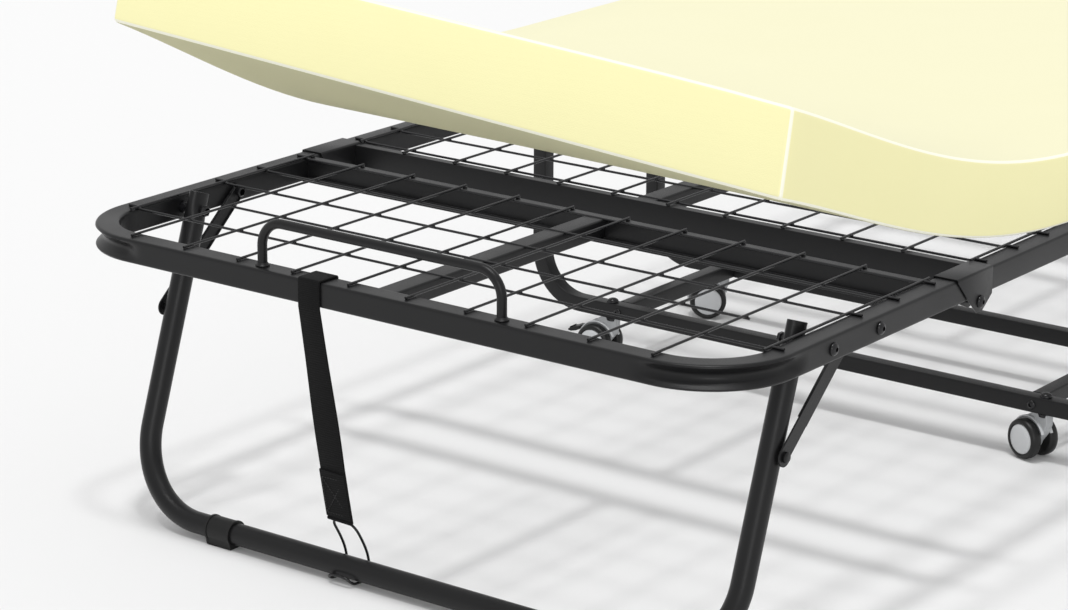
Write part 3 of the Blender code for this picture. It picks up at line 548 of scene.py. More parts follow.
# ---- centre frame ----
# Two short square tubes and two flat beams make the fixed middle of the deck, over the wheeled base.
centre_low, centre_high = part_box("centre_frame")
for side, word in ((-1, "near"), (1, "far")):
    bm = bmesh.new()
    start = (centre_low.x, side * rail_y, rail_z)
    box_bar(bm, start, RAIL, RAIL, RAIL_ROUNDING, centre_high.x - centre_low.x)
    steel("centre_rail_" + word, bm, "base", stands_for=["centre_frame"], sharp=50)
CENTRE_BEAM_IN = 0.0122
x0, x1 = centre_low.x + CENTRE_BEAM_IN, centre_low.x + CENTRE_BEAM_IN + BEAM
bm = bmesh.new()
beam_outline = [(x0, beam_top), (x0, beam_low), (x1, beam_low), (x1, beam_top)]
cut_plate(bm, beam_outline, -beam_half, beam_half)
repeated(steel("centre_beam_foot", bm, "base", 0.0009))


# ---- wheeled base ----
# Two U frames of 20 mm square tube stand on the casters. Each post ends in a steel clevis that the
# deck rail folds in, and two straight tubes join the U frames low down.
POST = 0.020
POST_ROUNDING = 0.0022
BASE_BEND = 0.065
POST_Y = 0.4337
base_low, base_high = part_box("base_frame_foot")
bar_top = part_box("base_link_near")[1].z
bar_z = bar_top - POST / 2
CLEVIS_DOWN = 0.0205
clevis_floor = rail_z - CLEVIS_DOWN
start = (fold.x, -POST_Y, clevis_floor - 0.0015)
drop = start[2] - bar_z - BASE_BEND
bm = bmesh.new()
mouth = box_end(bm, start, (0, 0, -1), POST, POST, POST_ROUNDING)
base_across = [("run", 2 * (POST_Y - BASE_BEND))]
base_moves = u_moves([("run", drop)], base_across, BASE_BEND, (0, 1, 0), (0, 0, 1), 16)
bent(bm, mouth, start, (0, 0, -1), base_moves)
repeated(steel("base_u_foot", bm, "base", stands_for=["base_frame_foot"], sharp=50))

CLEVIS_SHEET = 0.003
CLEVIS_CHAMFER = 0.008
CLEVIS_FOLD = 0.0035
bm = bmesh.new()
clevis_low = (base_low.x, base_low.y, clevis_floor - CLEVIS_SHEET)
clevis_high = (base_high.x, -rail_inner + 0.0003 + CLEVIS_SHEET, base_high.z)
folded_sheet(bm, clevis_low, clevis_high, CLEVIS_FOLD, open_top=True)
ear_top, ear_low = clevis_high[2], clevis_high[2] - CLEVIS_CHAMFER
cut_corner(bm, (clevis_low[0] + CLEVIS_CHAMFER, ear_top), (clevis_low[0], ear_low))
cut_corner(bm, (clevis_high[0], ear_low), (clevis_high[0] - CLEVIS_CHAMFER, ear_top))
repeated(sheet_piece("clevis_foot_near", bm, "base", CLEVIS_SHEET), sides=True)

link_low, link_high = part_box("base_link_near")
link_y = (link_low.y + link_high.y) / 2
bm = bmesh.new()
box_bar(bm, (link_low.x, link_y, bar_z), POST, POST, POST_ROUNDING, link_high.x - link_low.x)
base_link = steel("base_link_tube_near", bm, "base", stands_for=["base_link_near"], sharp=50)
repeated(base_link, ends=False, sides=True)


# ---- legs ----
# Each end stands on a round steel tube bent to a wide U, leaning outwards. Its two tops are pinched
# flat round the pivot bolt, and a headed stud sticks out of each side for the strut's hook.
LEG = 0.0125
LEG_BEND = 0.095
LEG_ABOVE = 0.020
PINCH_BELOW = 0.016
PINCH_LONG = 0.022
PINCH_FLATTER = 0.28
PINCH_WIDER = 0.10
PINCH_RUN = 0.004
PINCH_RUNS = 11
leg_y = 0.403
leg_pivot = axle_of["foot_leg_fold"]
leg_low, leg_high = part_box("foot_leg")
leg_foot = Vector((leg_low.x + LEG, 0, leg_low.z + LEG))
leg_line = (leg_foot - leg_pivot).normalized()
leg_run = (leg_foot - leg_pivot).length + LEG_ABOVE - LEG_BEND
start = leg_pivot - leg_line * LEG_ABOVE + Vector((0, -leg_y, 0))
bm = bmesh.new()
mouth = round_end(bm, start, leg_line, LEG, 28)
leg_down = [("run", PINCH_RUN)] * PINCH_RUNS + [("run", leg_run - PINCH_RUN * PINCH_RUNS)]
leg_across = [("run", 2 * (leg_y - LEG_BEND))]
bent(bm, mouth, start, leg_line, u_moves(leg_down, leg_across, LEG_BEND, (0, 1, 0), -leg_line, 24))
leg_side = Vector((leg_line.z, 0, -leg_line.x))
for vert in bm.verts:
    out = vert.co - leg_pivot
    pinch = eased((PINCH_BELOW - out.dot(leg_line)) / PINCH_LONG)
    middle = math.copysign(leg_y, vert.co.y)
    vert.co.y = middle + (vert.co.y - middle) * (1 - PINCH_FLATTER * pinch)
    vert.co += leg_side * out.dot(leg_side) * PINCH_WIDER * pinch
repeated(steel("foot_leg_tube", bm, "foot_leg", stands_for=["foot_leg"]))


def turned(bm, profile, place, heading, sides=24):
    """Spins a profile of (distance along the axis, radius) round an axis, closed at both ends."""
    stand = across_to(place, heading)
    verts = [bm.verts.new(stand @ Vector((radius, 0, along))) for along, radius in profile]
    edges = [bm.edges.new(pair) for pair in zip(verts, verts[1:])]
    axis = stand.to_3x3() @ Vector((0, 0, 1))
    bmesh.ops.spin(
        bm, geom=verts + edges, cent=Vector(place), axis=axis, angle=math.tau, steps=sides, use_merge=True
    )


STUD = 0.0035
STUD_DOWN = 0.1153
stud_tip = leg_high.y
stud = leg_pivot + leg_line * STUD_DOWN
bm = bmesh.new()
stud_profile = [(leg_y, 0), (leg_y, STUD), (stud_tip - 0.0032, STUD), (stud_tip - 0.0032, 0.0058)]
stud_profile += [(stud_tip - 0.0012, 0.0060), (stud_tip - 0.0002, 0.0046), (stud_tip, 0.0024), (stud_tip, 0)]
turned(bm, stud_profile, (stud.x, 0, stud.z), (0, -1, 0))
repeated(steel("foot_leg_stud_near", bm, "foot_leg"), sides=True)


# ---- glides ----
# A moulded plastic ring is clipped round the floor bar near each bend, with a flat pad under it and
# a raised lip at both ends.
moulded_black = grained(
    "moulded_black", (0.006, 0.006, 0.006), (0.009, 0.009, 0.009), (0.40, 0.52), 2200, 0.00012, specular=0.3
)
GLIDE_WALL = 0.0027
GLIDE_LIP = 0.003
GLIDE_LIP_OUT = 0.0008
PAD_HALF = 0.0105
glide_low, glide_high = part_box("foot_glide_near")


def glide_outline(wall):
    """The ring seen from its end, with the flat pad that it stands on."""
    pad = [(leg_foot.x - PAD_HALF, 0.0), (leg_foot.x + PAD_HALF, 0.0)]
    return arc(leg_foot.x, leg_foot.z, LEG + wall, -35, 215, 28) + pad


bm = bmesh.new()
cut_plate(bm, glide_outline(GLIDE_WALL - GLIDE_LIP_OUT), glide_low.y + GLIDE_LIP, glide_high.y - GLIDE_LIP)
for y0 in (glide_low.y, glide_high.y - GLIDE_LIP):
    cut_plate(bm, glide_outline(GLIDE_WALL), y0, y0 + GLIDE_LIP)
glide_nodes = ["foot_glide_near"]
glide = finished("foot_glide_ring_near", bm, moulded_black, "foot_leg", "glide_black", 0.0006, glide_nodes)
repeated(glide, sides=True)


# ---- struts ----
# A pressed steel strut hangs from a bolt in the side rail and hooks over the leg's stud. Its long
# edges are folded up to a shallow channel, which runs out flat towards the open hook.
STRUT_SHEET = 0.0020
STRUT_HALF = 0.009
HOOK_OUT = 0.0105
NOTCH = 0.0045
FLANGE_HALF = 0.0007
FLANGE_SHARE = 0.74
strut_pivot = axle_of["foot_strut_near_swing"]
strut_low, strut_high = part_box("foot_strut_near")
slope = math.degrees(math.atan2(strut_pivot.z - stud.z, strut_pivot.x - stud.x))
bm = bmesh.new()
outline = arc(strut_pivot.x, strut_pivot.z, STRUT_HALF, slope - 90, slope + 90)
outline += arc(stud.x, stud.z, HOOK_OUT, slope + 90, 348, 14)
outline += arc(stud.x, stud.z, NOTCH, 302, 72, 16)
outline += arc(stud.x, stud.z, HOOK_OUT, -8, slope - 90, 2)[:1]
cut_plate(bm, outline, strut_low.y + 0.0002, strut_low.y + 0.0002 + STRUT_SHEET)
strut_line = Vector((stud.x - strut_pivot.x, 0, stud.z - strut_pivot.z))
strut_side = Vector((-strut_line.z, 0, strut_line.x)).normalized()
fold_out = strut_side * FLANGE_HALF
for edge_side in (-1, 1):
    root = Vector((strut_pivot.x, 0, strut_pivot.z)) + strut_side * edge_side * (STRUT_HALF - FLANGE_HALF)
    tip = root + strut_line * FLANGE_SHARE
    flange = [root - fold_out, root + fold_out, tip + fold_out, tip - fold_out]
    cut_plate(bm, [(point.x, point.z) for point in flange], strut_low.y + 0.0004, strut_high.y)
strut = steel("foot_strut_channel_near", bm, "foot_strut_near", 0.0004, ["foot_strut_near"])
repeated(strut, sides=True)


# ---- bolts ----
# Black button-head socket bolts hold every joint, each with a nyloc nut inside and, where two pieces
# stand apart, a plain spacer between them.
bolt_black = grained(
    "bolt_black", (0.006, 0.006, 0.007), (0.010, 0.010, 0.011), (0.20, 0.28), 900, 0.0001, metallic=0.2
)
SOCKET = 0.0024
HEAD = 0.0070
HEAD_TALL = 0.0040
SHANK = 0.004
NUT_TALL = 0.0048
SPACER = 0.0072


def button_head(bm, place, heading, radius, tall):
    """A domed bolt head with a socket sunk in its middle."""
    dome = [(0, 0.0), (0, radius * 0.92), (tall * 0.12, radius)]
    for angle in (math.radians(12 * step) for step in range(1, 7)):
        rise = 0.12 + 0.88 * math.sin(angle) / math.sin(math.radians(72))
        dome.append((tall * rise, radius * math.cos(angle)))
    dome[-1] = (tall, SOCKET)
    dome += [(tall - 0.0020, SOCKET), (tall - 0.0020, 0.0)]
    turned(bm, dome, place, heading)


def round_bar(bm, place, heading, radius, long, sides):
    """A straight round bar with square ends."""
    turned(bm, [(0, 0), (0, radius), (long, radius), (long, 0)], place, heading, sides)


def bolt(name, node, body, spacer=None):
    """A near-side bolt that fills its solid's box: head outside, nut inside, and a spacer if it has one."""
    low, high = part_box(node)
    x, z = (low.x + high.x) / 2, (low.z + high.z) / 2
    under_head = low.y + HEAD_TALL
    bm = bmesh.new()
    button_head(bm, (x, under_head, z), (0, -1, 0), HEAD, HEAD_TALL)
    round_bar(bm, (x, under_head, z), (0, 1, 0), SHANK, high.y - under_head, 16)
    nut = [(0, 0), (0, 0.0056), (0.0005, 0.0064), (0.0036, 0.0064), (NUT_TALL, 0.0046), (NUT_TALL, 0)]
    turned(bm, nut, (x, high.y - NUT_TALL, z), (0, 1, 0), 6)
    if spacer:
        round_bar(bm, (x, -spacer[0], z), (0, -1, 0), SPACER, spacer[1] - spacer[0], 24)
    repeated(finished(name, bm, bolt_black, body, "bolt_black", stands_for=[node], sharp=30), sides=True)


bolt("foot_leg_bolt_set_near", "foot_leg_bolt_near", "foot_end", spacer=(leg_y + LEG * 0.75, rail_inner))
bolt("foot_strut_bolt_set_near", "foot_strut_bolt_near", "foot_end", spacer=(-strut_low.y, rail_inner))
bolt("foot_hinge_bolt_set_near", "foot_hinge_bolt_near", "foot_half")
bolt("foot_fold_bolt_set_near", "foot_fold_bolt_near", "base")

bm = bmesh.new()
button_head(bm, (fold.x - POST / 2, link_y, bar_z), (-1, 0, 0), 0.0058, 0.0030)
repeated(finished("link_bolt_foot_near", bm, bolt_black, "base", "bolt_black", sharp=30), sides=True)


# ---- mattress stop ----
# A round bar bent to a low arch keeps the mattress from sliding off. It is welded to the end rail,
# with a bead round each foot.
STOP = 0.0053
STOP_BEND = 0.028
stop_low, stop_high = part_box("foot_mattress_stop")
stop_x, stop_y = (stop_low.x + stop_high.x) / 2, stop_high.y - STOP
start = (stop_x, -stop_y, stop_low.z)
stop_rise = stop_high.z - STOP - STOP_BEND - stop_low.z
bm = bmesh.new()
stop_across = [("run", 2 * (stop_y - STOP_BEND))]
stop_moves = u_moves([("run", stop_rise)], stop_across, STOP_BEND, (0, 1, 0), (0, 0, -1), 16)
bent(bm, round_end(bm, start, (0, 0, 1), STOP, 20), start, (0, 0, 1), stop_moves)
for side in (-1, 1):
    bead = [(0, 0), (0, 0.0076), (0.0009, 0.0077), (0.0020, 0.0066), (0.0036, 0.0054), (0.0036, 0)]
    turned(bm, bead, (stop_x, side * stop_y, stop_low.z), (0, 0, 1))
repeated(steel("foot_stop_arch", bm, "foot_end", stands_for=["foot_mattress_stop"]))


# ---- wire decks ----
# 3 mm wire is welded to an open mesh. The long wires lie on top and end on the rail or the beam; the
# cross wires pass under them, and each end is cranked up on to the side rail.
wire_black = grained(
    "wire_black", (0.006, 0.006, 0.007), (0.009, 0.009, 0.010), (0.24, 0.32), 1500, 0.00008, specular=0.45
)
WIRE = 0.0015
LONG_UP = 0.0019
CROSS_DOWN = 0.0012
CRANK = 0.0035
CRANK_STEPS = 4
WIRE_SIDES = 10
FIRST_WIRE = 0.4228
WIRE_PITCH = 0.0769
WIRE_COUNT = 12
OUTER_WIRES = (0, WIRE_COUNT - 1)
long_z = deck_top + LONG_UP
cross_z = deck_top - CROSS_DOWN
wire_y = [FIRST_WIRE - WIRE_PITCH * i for i in range(WIRE_COUNT)]


def wire(bm, start, heading, moves):
    """One wire, bent as its moves say."""
    bent(bm, round_end(bm, start, heading, WIRE, WIRE_SIDES), start, heading, moves)


def weld(bm, place, size):
    """A small flattened lump of weld metal."""
    lump = Matrix.Translation(place) @ Matrix.Diagonal((*size, 1))
    bmesh.ops.create_icosphere(bm, subdivisions=1, radius=1.0, matrix=lump)


def cranked_moves(reach):
    """A cross wire's moves: flat on one side rail, cranked down, across under the long wires, and back
    up on to the other rail."""
    inside, rise = rail_inner - 0.004, deck_top + WIRE - cross_z
    angle = math.degrees(math.acos(1 - rise / 2 / CRANK))
    lie = reach - inside - 2 * CRANK * math.sin(math.radians(angle))
    down, up = [("bend", (0, 0, way), CRANK, angle, CRANK_STEPS) for way in (-1, 1)]
    return [("run", lie), down, up, ("run", 2 * inside), up, down, ("run", lie)]


def wire_deck(name, node, body, long_ends, cross_at, short_cross=()):
    """long_ends gives where each long wire starts and stops; cross_at lists the cross wires, of which
    those numbered in short_cross only join the inner long wires."""
    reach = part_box(node)[1].y
    bm = bmesh.new()
    for (x0, x1), y in zip(long_ends, wire_y):
        wire(bm, (x0, y, long_z), (1, 0, 0), [("run", x1 - x0)])
        for x in (x0 + 0.003, x1 - 0.003):
            weld(bm, (x, y, deck_top + 0.0004), (0.0036, 0.0026, 0.0014))
    for i, x in enumerate(cross_at):
        if i in short_cross:
            short = wire_y[1] + 0.004
            wire(bm, (x, -short, cross_z), (0, 1, 0), [("run", 2 * short)])
        else:
            wire(bm, (x, -reach, deck_top + WIRE), (0, 1, 0), cranked_moves(reach))
        for (x0, x1), y in zip(long_ends, wire_y):
            if x0 < x < x1 and (i not in short_cross or abs(y) < wire_y[1] + 0.001):
                weld(bm, (x, y, (long_z + cross_z) / 2), (0.0026, 0.0026, 0.0017))
    return finished(name, bm, wire_black, body, "wire_black", stands_for=[node], sharp=50)


def long_wire_ends(node, outer_in=0.0):
    """Where the long wires of a mesh start and stop; the two outer ones may start further in."""
    low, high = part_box(node)
    return [(low.x + (outer_in if i in OUTER_WIRES else 0), high.x) for i in range(WIRE_COUNT)]


END_WIRES_IN = 0.0788
END_CROSS, END_CROSS_PITCH = 0.1018, 0.0718
INNER_WIRES_IN = 0.0127
INNER_CROSS, INNER_CROSS_PITCH = 0.0356, 0.0679
long_ends = long_wire_ends("foot_end_mesh", END_WIRES_IN)
cross_at = [end_x + END_CROSS + END_CROSS_PITCH * i for i in range(5)]
repeated(wire_deck("foot_end_wires", "foot_end_mesh", "foot_end", long_ends, cross_at, short_cross=(1,)))
long_ends = long_wire_ends("foot_inner_mesh", INNER_WIRES_IN)
cross_at = [hinge.x + INNER_CROSS + INNER_CROSS_PITCH * i for i in range(6)]
repeated(wire_deck("foot_inner_wires", "foot_inner_mesh", "foot_half", long_ends, cross_at))
wire_deck("centre_wires", "centre_mesh", "base", long_wire_ends("centre_mesh"), (-0.065, 0.0, 0.065))


# ---- strap ----
# Black woven webbing, 38 mm wide, is gathered round the end rail and hangs to the leg's floor bar.
# Its last 60 mm is turned back round the hook's wire and sewn down with a boxed cross.
STRAP_WIDE = 0.038
STRAP_THICK = 0.002
SEWN_LONG = 0.060
WRAP_BEND = 0.0022
HANG_RUNS = 8
EYE = 0.0026
GATHERED = 0.77
SPREAD_LOWER = 0.18
GATHERED_ASIDE = 0.0045
STITCH_PITCH = 0.0036
strap_low, strap_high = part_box("strap")
strap_y = (strap_low.y + strap_high.y) / 2


def webbing_finish():
    """Ribs across the band and fine warp lines along it, as bump and slight colour change."""
    finish, tree, shader = plain_finish(
        "webbing_black", {"Specular IOR Level": 0.12, "Sheen Weight": 0.04, "Sheen Roughness": 0.5}
    )
    place = new_node(tree, "TexCoord").outputs["Object"]
    turn = new_node(tree, "Mapping", {"Rotation": (0, math.radians(40), 0), "Vector": place})
    weave = new_node(tree, "Math")
    weave.operation = "MULTIPLY"
    for i, (direction, scale) in enumerate((("X", 230.0), ("Y", 210.0))):
        wave = new_node(tree, "TexWave", {"Scale": scale, "Distortion": 0.6, "Detail Scale": 30.0})
        wave.bands_direction = direction
        filled(wave, {"Vector": turn.outputs["Vector"]})
        filled(weave, {i: wave.outputs["Fac"]})
    weave = weave.outputs[0]
    bump = new_node(tree, "Bump", {"Strength": 0.8, "Distance": 0.0004, "Height": weave})
    tint = new_node(tree, "ValToRGB", {"Fac": weave})
    tint.color_ramp.elements[0].color = (0.0022, 0.0022, 0.0023, 1)
    tint.color_ramp.elements[1].color = (0.0065, 0.0065, 0.0068, 1)
    fibre = new_node(tree, "MapRange", {"To Min": 0.72, "To Max": 0.92, "Value": weave})
    filled(shader, {"Base Color": tint.outputs["Color"], "Roughness": fibre.outputs["Result"]})
    filled(shader, {"Normal": bump.outputs["Normal"]})
    return finish


webbing = webbing_finish()
front_x, back_x = end_x - 0.0015, end_x + RAIL + 0.0015
wrap_top, wrap_low = deck_top + 0.0017, deck_top - RAIL - 0.0013
strap_end = Vector((end_x + 0.050, strap_y, strap_low.z + 0.001))
hang = Vector((strap_end.x - front_x, 0, strap_end.z - wrap_low))
hang_angle = math.degrees(math.atan2(hang.x, -hang.z))
start = (back_x, strap_y, wrap_low)
bm = bmesh.new()
mouth = box_end(bm, start, (0, 0, 1), STRAP_WIDE, STRAP_THICK, 0.0007)
strap_moves = [("run", wrap_top - wrap_low - WRAP_BEND), ("bend", (-1, 0, 0), WRAP_BEND, 90, 6)]
strap_moves += [("run", back_x - front_x - 2 * WRAP_BEND), ("bend", (0, 0, -1), WRAP_BEND, 90, 6)]
strap_moves += [("run", wrap_top - wrap_low - WRAP_BEND - 0.001), ("bend", (1, 0, 0), 0.012, hang_angle, 5)]
strap_moves += [("run", hang.length / HANG_RUNS - 0.0004)] * HANG_RUNS
bent(bm, mouth, start, (0, 0, 1), strap_moves)
hang_way = hang.normalized()
outward = Vector((hang_way.z, 0, -hang_way.x))
patch_top = strap_end - hang_way * SEWN_LONG + outward * 0.0021
mouth = box_end(bm, patch_top, hang_way, STRAP_WIDE + 0.0006, 0.0019, 0.0008)
bent(bm, mouth, patch_top, hang_way, [("run", SEWN_LONG * 0.5), ("run", SEWN_LONG * 0.5 - 0.003)])
eye = strap_end + outward * 0.0010
eye_half = STRAP_WIDE / 2 - 0.001
round_bar(bm, eye - Vector((0, eye_half, 0)), (0, 1, 0), EYE, 2 * eye_half, 16)
for vert in bm.verts:
    lower = min(max((wrap_low - vert.co.z) / 0.20, 0), 1)
    aside = vert.co.y - strap_y
    vert.co.x += 0.0010 * math.sin(lower * 7.5) * aside / (STRAP_WIDE / 2) * lower
    vert.co.y = strap_y + aside * (GATHERED + SPREAD_LOWER * lower) - GATHERED_ASIDE * (1 - lower)
finished("strap_band", bm, webbing, "foot_end", "webbing", stands_for=["strap"])

thread_black = grained("thread_black", (0.016, 0.016, 0.017), (0.024, 0.024, 0.025), (0.5, 0.6), 900, 0.0001)
bm = bmesh.new()
patch_middle = strap_end - hang_way * SEWN_LONG / 2 + outward * 0.0031
box_half, box_tall = STRAP_WIDE / 2 - 0.004, SEWN_LONG / 2 - 0.008
corners = [(-box_half, -box_tall), (box_half, -box_tall), (box_half, box_tall), (-box_half, box_tall)]
seams = list(zip(corners, corners[1:] + corners[:1])) + [(corners[0], corners[2]), (corners[1], corners[3])]
for (a0, b0), (a1, b1) in seams:
    count = int(math.hypot(a1 - a0, b1 - b0) / STITCH_PITCH)
    for i in range(count):
        t = (i + 0.5) / count
        spot = patch_middle + Vector((0, a0 + (a1 - a0) * t, 0)) + hang_way * (b0 + (b1 - b0) * t)
        way = (Vector((0, a1 - a0, 0)) + hang_way * (b1 - b0)).normalized()
        stitch = across_to(spot, way) @ Matrix.Diagonal((0.0005, 0.0005, 0.0014, 1))
        bmesh.ops.create_icosphere(bm, subdivisions=1, radius=1.0, matrix=stitch)
finished("strap_stitches", bm, thread_black, "foot_end", "webbing")


# ---- strap hook ----
# A loop of 3 mm blackened spring wire. It is held in the strap's sewn eye, drops behind the leg's
# floor bar, passes under it and turns up in front in a round nose.
HOOK = 0.0015
HOOK_HALF = 0.0165
nose_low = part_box("strap_hook")[0].z + HOOK
hook_side = [(strap_end.x + 0.0010, strap_end.z - 0.0005), (leg_foot.x + 0.0085, 0.0440)]
hook_side += [(leg_foot.x + 0.0162, 0.0240), (leg_foot.x + 0.0158, 0.0100), (leg_foot.x + 0.0090, nose_low)]
hook_side += [(leg_foot.x - 0.0080, nose_low), (leg_foot.x - 0.0150, 0.0065)]
hook_points = [(x, HOOK_HALF * 0.96, z) for x, z in hook_side]
hook_points += [(leg_foot.x - 0.0172, y, 0.0112) for y in (HOOK_HALF * 0.6, -HOOK_HALF * 0.6)]
hook_points += [(x, -HOOK_HALF * 0.96, z) for x, z in reversed(hook_side)]
wire_line = bpy.data.curves.new("hook_line", "CURVE")
wire_line.dimensions = "3D"
wire_line.bevel_depth = HOOK
wire_line.bevel_resolution = 4
wire_line.resolution_u = 8
spline = wire_line.splines.new("NURBS")
spline.points.add(len(hook_points) - 1)
for point, (x, y, z) in zip(spline.points, hook_points):
    point.co = (x, y + strap_y, z, 1)
spline.order_u = 3
spline.use_cyclic_u = True
line_holder = bpy.data.objects.new("hook_line", wire_line)
bpy.context.scene.collection.objects.link(line_holder)
bpy.context.view_layer.update()
bm = bmesh.new()
seen = line_holder.evaluated_get(bpy.context.evaluated_depsgraph_get())
bm.from_mesh(bpy.data.meshes.new_from_object(seen))
bpy.data.objects.remove(line_holder)
finished("strap_wire_hook", bm, bolt_black, "foot_end", "bolt_black", stands_for=["strap_hook"], sharp=60)


# ---- casters ----
# Each 50 mm twin-wheel caster swivels on a steel stem through the base bar, with a mushroom head on
# top. Grey moulded housing, black tyres, pale domed discs, and a brake lever on two of the four.
caster_grey = grained("caster_grey", (0.36, 0.37, 0.38), (0.42, 0.43, 0.44), (0.24, 0.34), 700, 0.00008)
disc_grey = grained("disc_pale_grey", (0.52, 0.53, 0.54), (0.56, 0.57, 0.58), (0.20, 0.30), 500, 0.00005)
tyre_black = grained(
    "tyre_rubber", (0.006, 0.006, 0.006), (0.010, 0.010, 0.010), (0.34, 0.46), 1800, 0.0001, specular=0.35
)
WHEEL = 0.025
WHEEL_IN = 0.0068
WHEEL_OUT = 0.0206
HOOD = 0.0282
AXLE = 0.003
stem_top = bar_top + 0.0003


def caster(place_name):
    """One caster, drawn with its stem at the origin and its trail along X, then stood in its place."""
    swivel, axle = axle_of["swivel_" + place_name], axle_of["wheel_" + place_name]
    trail = Vector((axle.x - swivel.x, axle.y - swivel.y, 0))
    turn = Matrix.Rotation(math.atan2(trail.y, trail.x), 4, "Z")
    stand = Matrix.Translation((swivel.x, swivel.y, 0)) @ turn
    t, body, wheels = trail.length, "caster_" + place_name, "wheels_" + place_name
    top = bar_top - POST - 0.0005

    def stood(part, bm, *look, **more):
        bmesh.ops.transform(bm, matrix=stand, verts=bm.verts)
        finished(part + "_" + place_name, bm, *look, **more)

    bm = bmesh.new()
    outline = [(-0.0088, top), (-0.0088, 0.047), (-0.004, 0.036)] + arc(t, WHEEL, 0.0135, 190, 335, 10)
    outline += arc(t, WHEEL, HOOD - 0.001, -8, 72, 10) + [(0.014, top)]
    cut_plate(bm, outline, -0.0055, 0.0055)
    stood("housing", bm, caster_grey, body, "caster_grey", 0.0012, ["caster_fork_" + place_name])

    bm = bmesh.new()
    rim = arc(t, WHEEL, HOOD, -8, 158, 22) + arc(t, WHEEL, HOOD - 0.0019, 158, -8, 22)
    for side in (-1, 1):
        cut_plate(bm, rim, *sorted((side * 0.0050, side * 0.0090)))
    cap = arc(t, WHEEL, HOOD - 0.0004, 40, 150, 16) + arc(t, WHEEL, HOOD - 0.0016, 150, 40, 16)
    cut_plate(bm, cap, -0.0052, 0.0052)
    stood("hood", bm, disc_grey, body, "caster_grey", 0.0006)

    bm = bmesh.new()
    neck = [(top - 0.004, 0), (top - 0.004, 0.0078), (top - 0.0004, 0.0090), (top + 0.0001, 0.0090)]
    neck += [(top + 0.0001, 0.0045), (stem_top, 0.0045), (stem_top, 0.0076), (stem_top + 0.0014, 0.0076)]
    for turn in map(math.radians, (15, 32, 50, 68, 82)):
        neck.append((stem_top + 0.0014 + 0.0040 * math.sin(turn), 0.0074 * math.cos(turn)))
    neck.append((stem_top + 0.0055, 0))
    turned(bm, neck, (0, 0, 0), (0, 0, 1))
    stood("stem", bm, bolt_black, body, "bolt_black", sharp=40)

    tyre, disc = bmesh.new(), bmesh.new()
    for side in (-1, 1):
        hub = (t, 0, WHEEL)
        tread = [(WHEEL_IN, 0.0), (WHEEL_IN, 0.0212), (WHEEL_IN + 0.0006, 0.0233)]
        tread += [(WHEEL_IN + 0.0022, 0.0246), (WHEEL_IN + 0.0045, WHEEL)]
        tread += [(WHEEL_OUT - 0.0050, WHEEL), (WHEEL_OUT - 0.0022, 0.0243)]
        tread += [(WHEEL_OUT - 0.0005, 0.0226), (WHEEL_OUT, 0.0204), (WHEEL_OUT - 0.0006, 0.0190)]
        tread += [(WHEEL_OUT - 0.0022, 0.0184), (WHEEL_OUT - 0.0022, 0.0)]
        turned(tyre, tread, hub, (0, side, 0), 48)
        face = [(WHEEL_OUT - 0.0024, 0), (WHEEL_OUT - 0.0024, 0.0183), (WHEEL_OUT - 0.0010, 0.0183)]
        face += [(WHEEL_OUT - 0.0002, 0.0176), (WHEEL_OUT + 0.0006, 0.0150), (WHEEL_OUT + 0.0012, 0.0100)]
        face += [(WHEEL_OUT + 0.0015, 0.0050), (WHEEL_OUT + 0.0016, 0)]
        turned(disc, face, hub, (0, side, 0), 48)
    round_bar(tyre, (t, -WHEEL_IN, WHEEL), (0, 1, 0), AXLE, 2 * WHEEL_IN, 24)
    stood("tyres", tyre, tyre_black, wheels, "tyre", stands_for=["caster_wheels_" + place_name])
    stood("discs", disc, disc_grey, wheels, "caster_grey")

    if "brake_lever_" + place_name in frame["nodes"]:
        bm = bmesh.new()
        lever = [(0.0462, 0.0372), (0.0530, 0.0340), (0.0600, 0.0322), (0.0645, 0.0326)]
        lever += [(0.0648, 0.0350), (0.0600, 0.0368), (0.0535, 0.0400), (0.0470, 0.0412)]
        cut_plate(bm, lever, -0.0090, 0.0090)
        for x in (0.0560, 0.0590, 0.0620):
            rib = [(x, 0.0350), (x + 0.0012, 0.0350), (x + 0.0012, 0.0374), (x, 0.0380)]
            cut_plate(bm, rib, -0.0075, 0.0075)
        lever_node = ["brake_lever_" + place_name]
        stood("brake_pedal", bm, moulded_black, "brake_" + place_name, "glide_black", 0.0006, lever_node)


for corner_name in ("foot_near", "foot_far", "head_near", "head_far"):
    caster(corner_name)


# ---- mattress ----
# One cream foam slab in a fine knitted skin, 80 mm thick and fuller at its free foot end. Its sides and ends
# are painted a lighter, deeper cream as painted light, its softened edges carry a pale painted highlight and
# its underside a darker painted shade. Its foot end is lifted clear of the deck in one long curve, a little
# higher on the far side. It casts no shadow.
FOAM_WIDE = 0.890
FOAM_EDGE = 0.0045
FOAM_EDGE_DROP = 0.0022
FOAM_STEP = 0.025
FOAM_CUTS = 11
FOAM_END_THICK = 0.095
FOAM_TWIST = 0.040
foam_low, foam_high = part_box("mattress_head")
foam_thick = foam_high.z - foam_low.z
lift_line = axle_of["mattress_lift"]
foot_end_x = -foam_high.x
lift = math.radians([j for j in frame["joints"] if j["name"] == "mattress_lift"][0]["range_deg"][1])


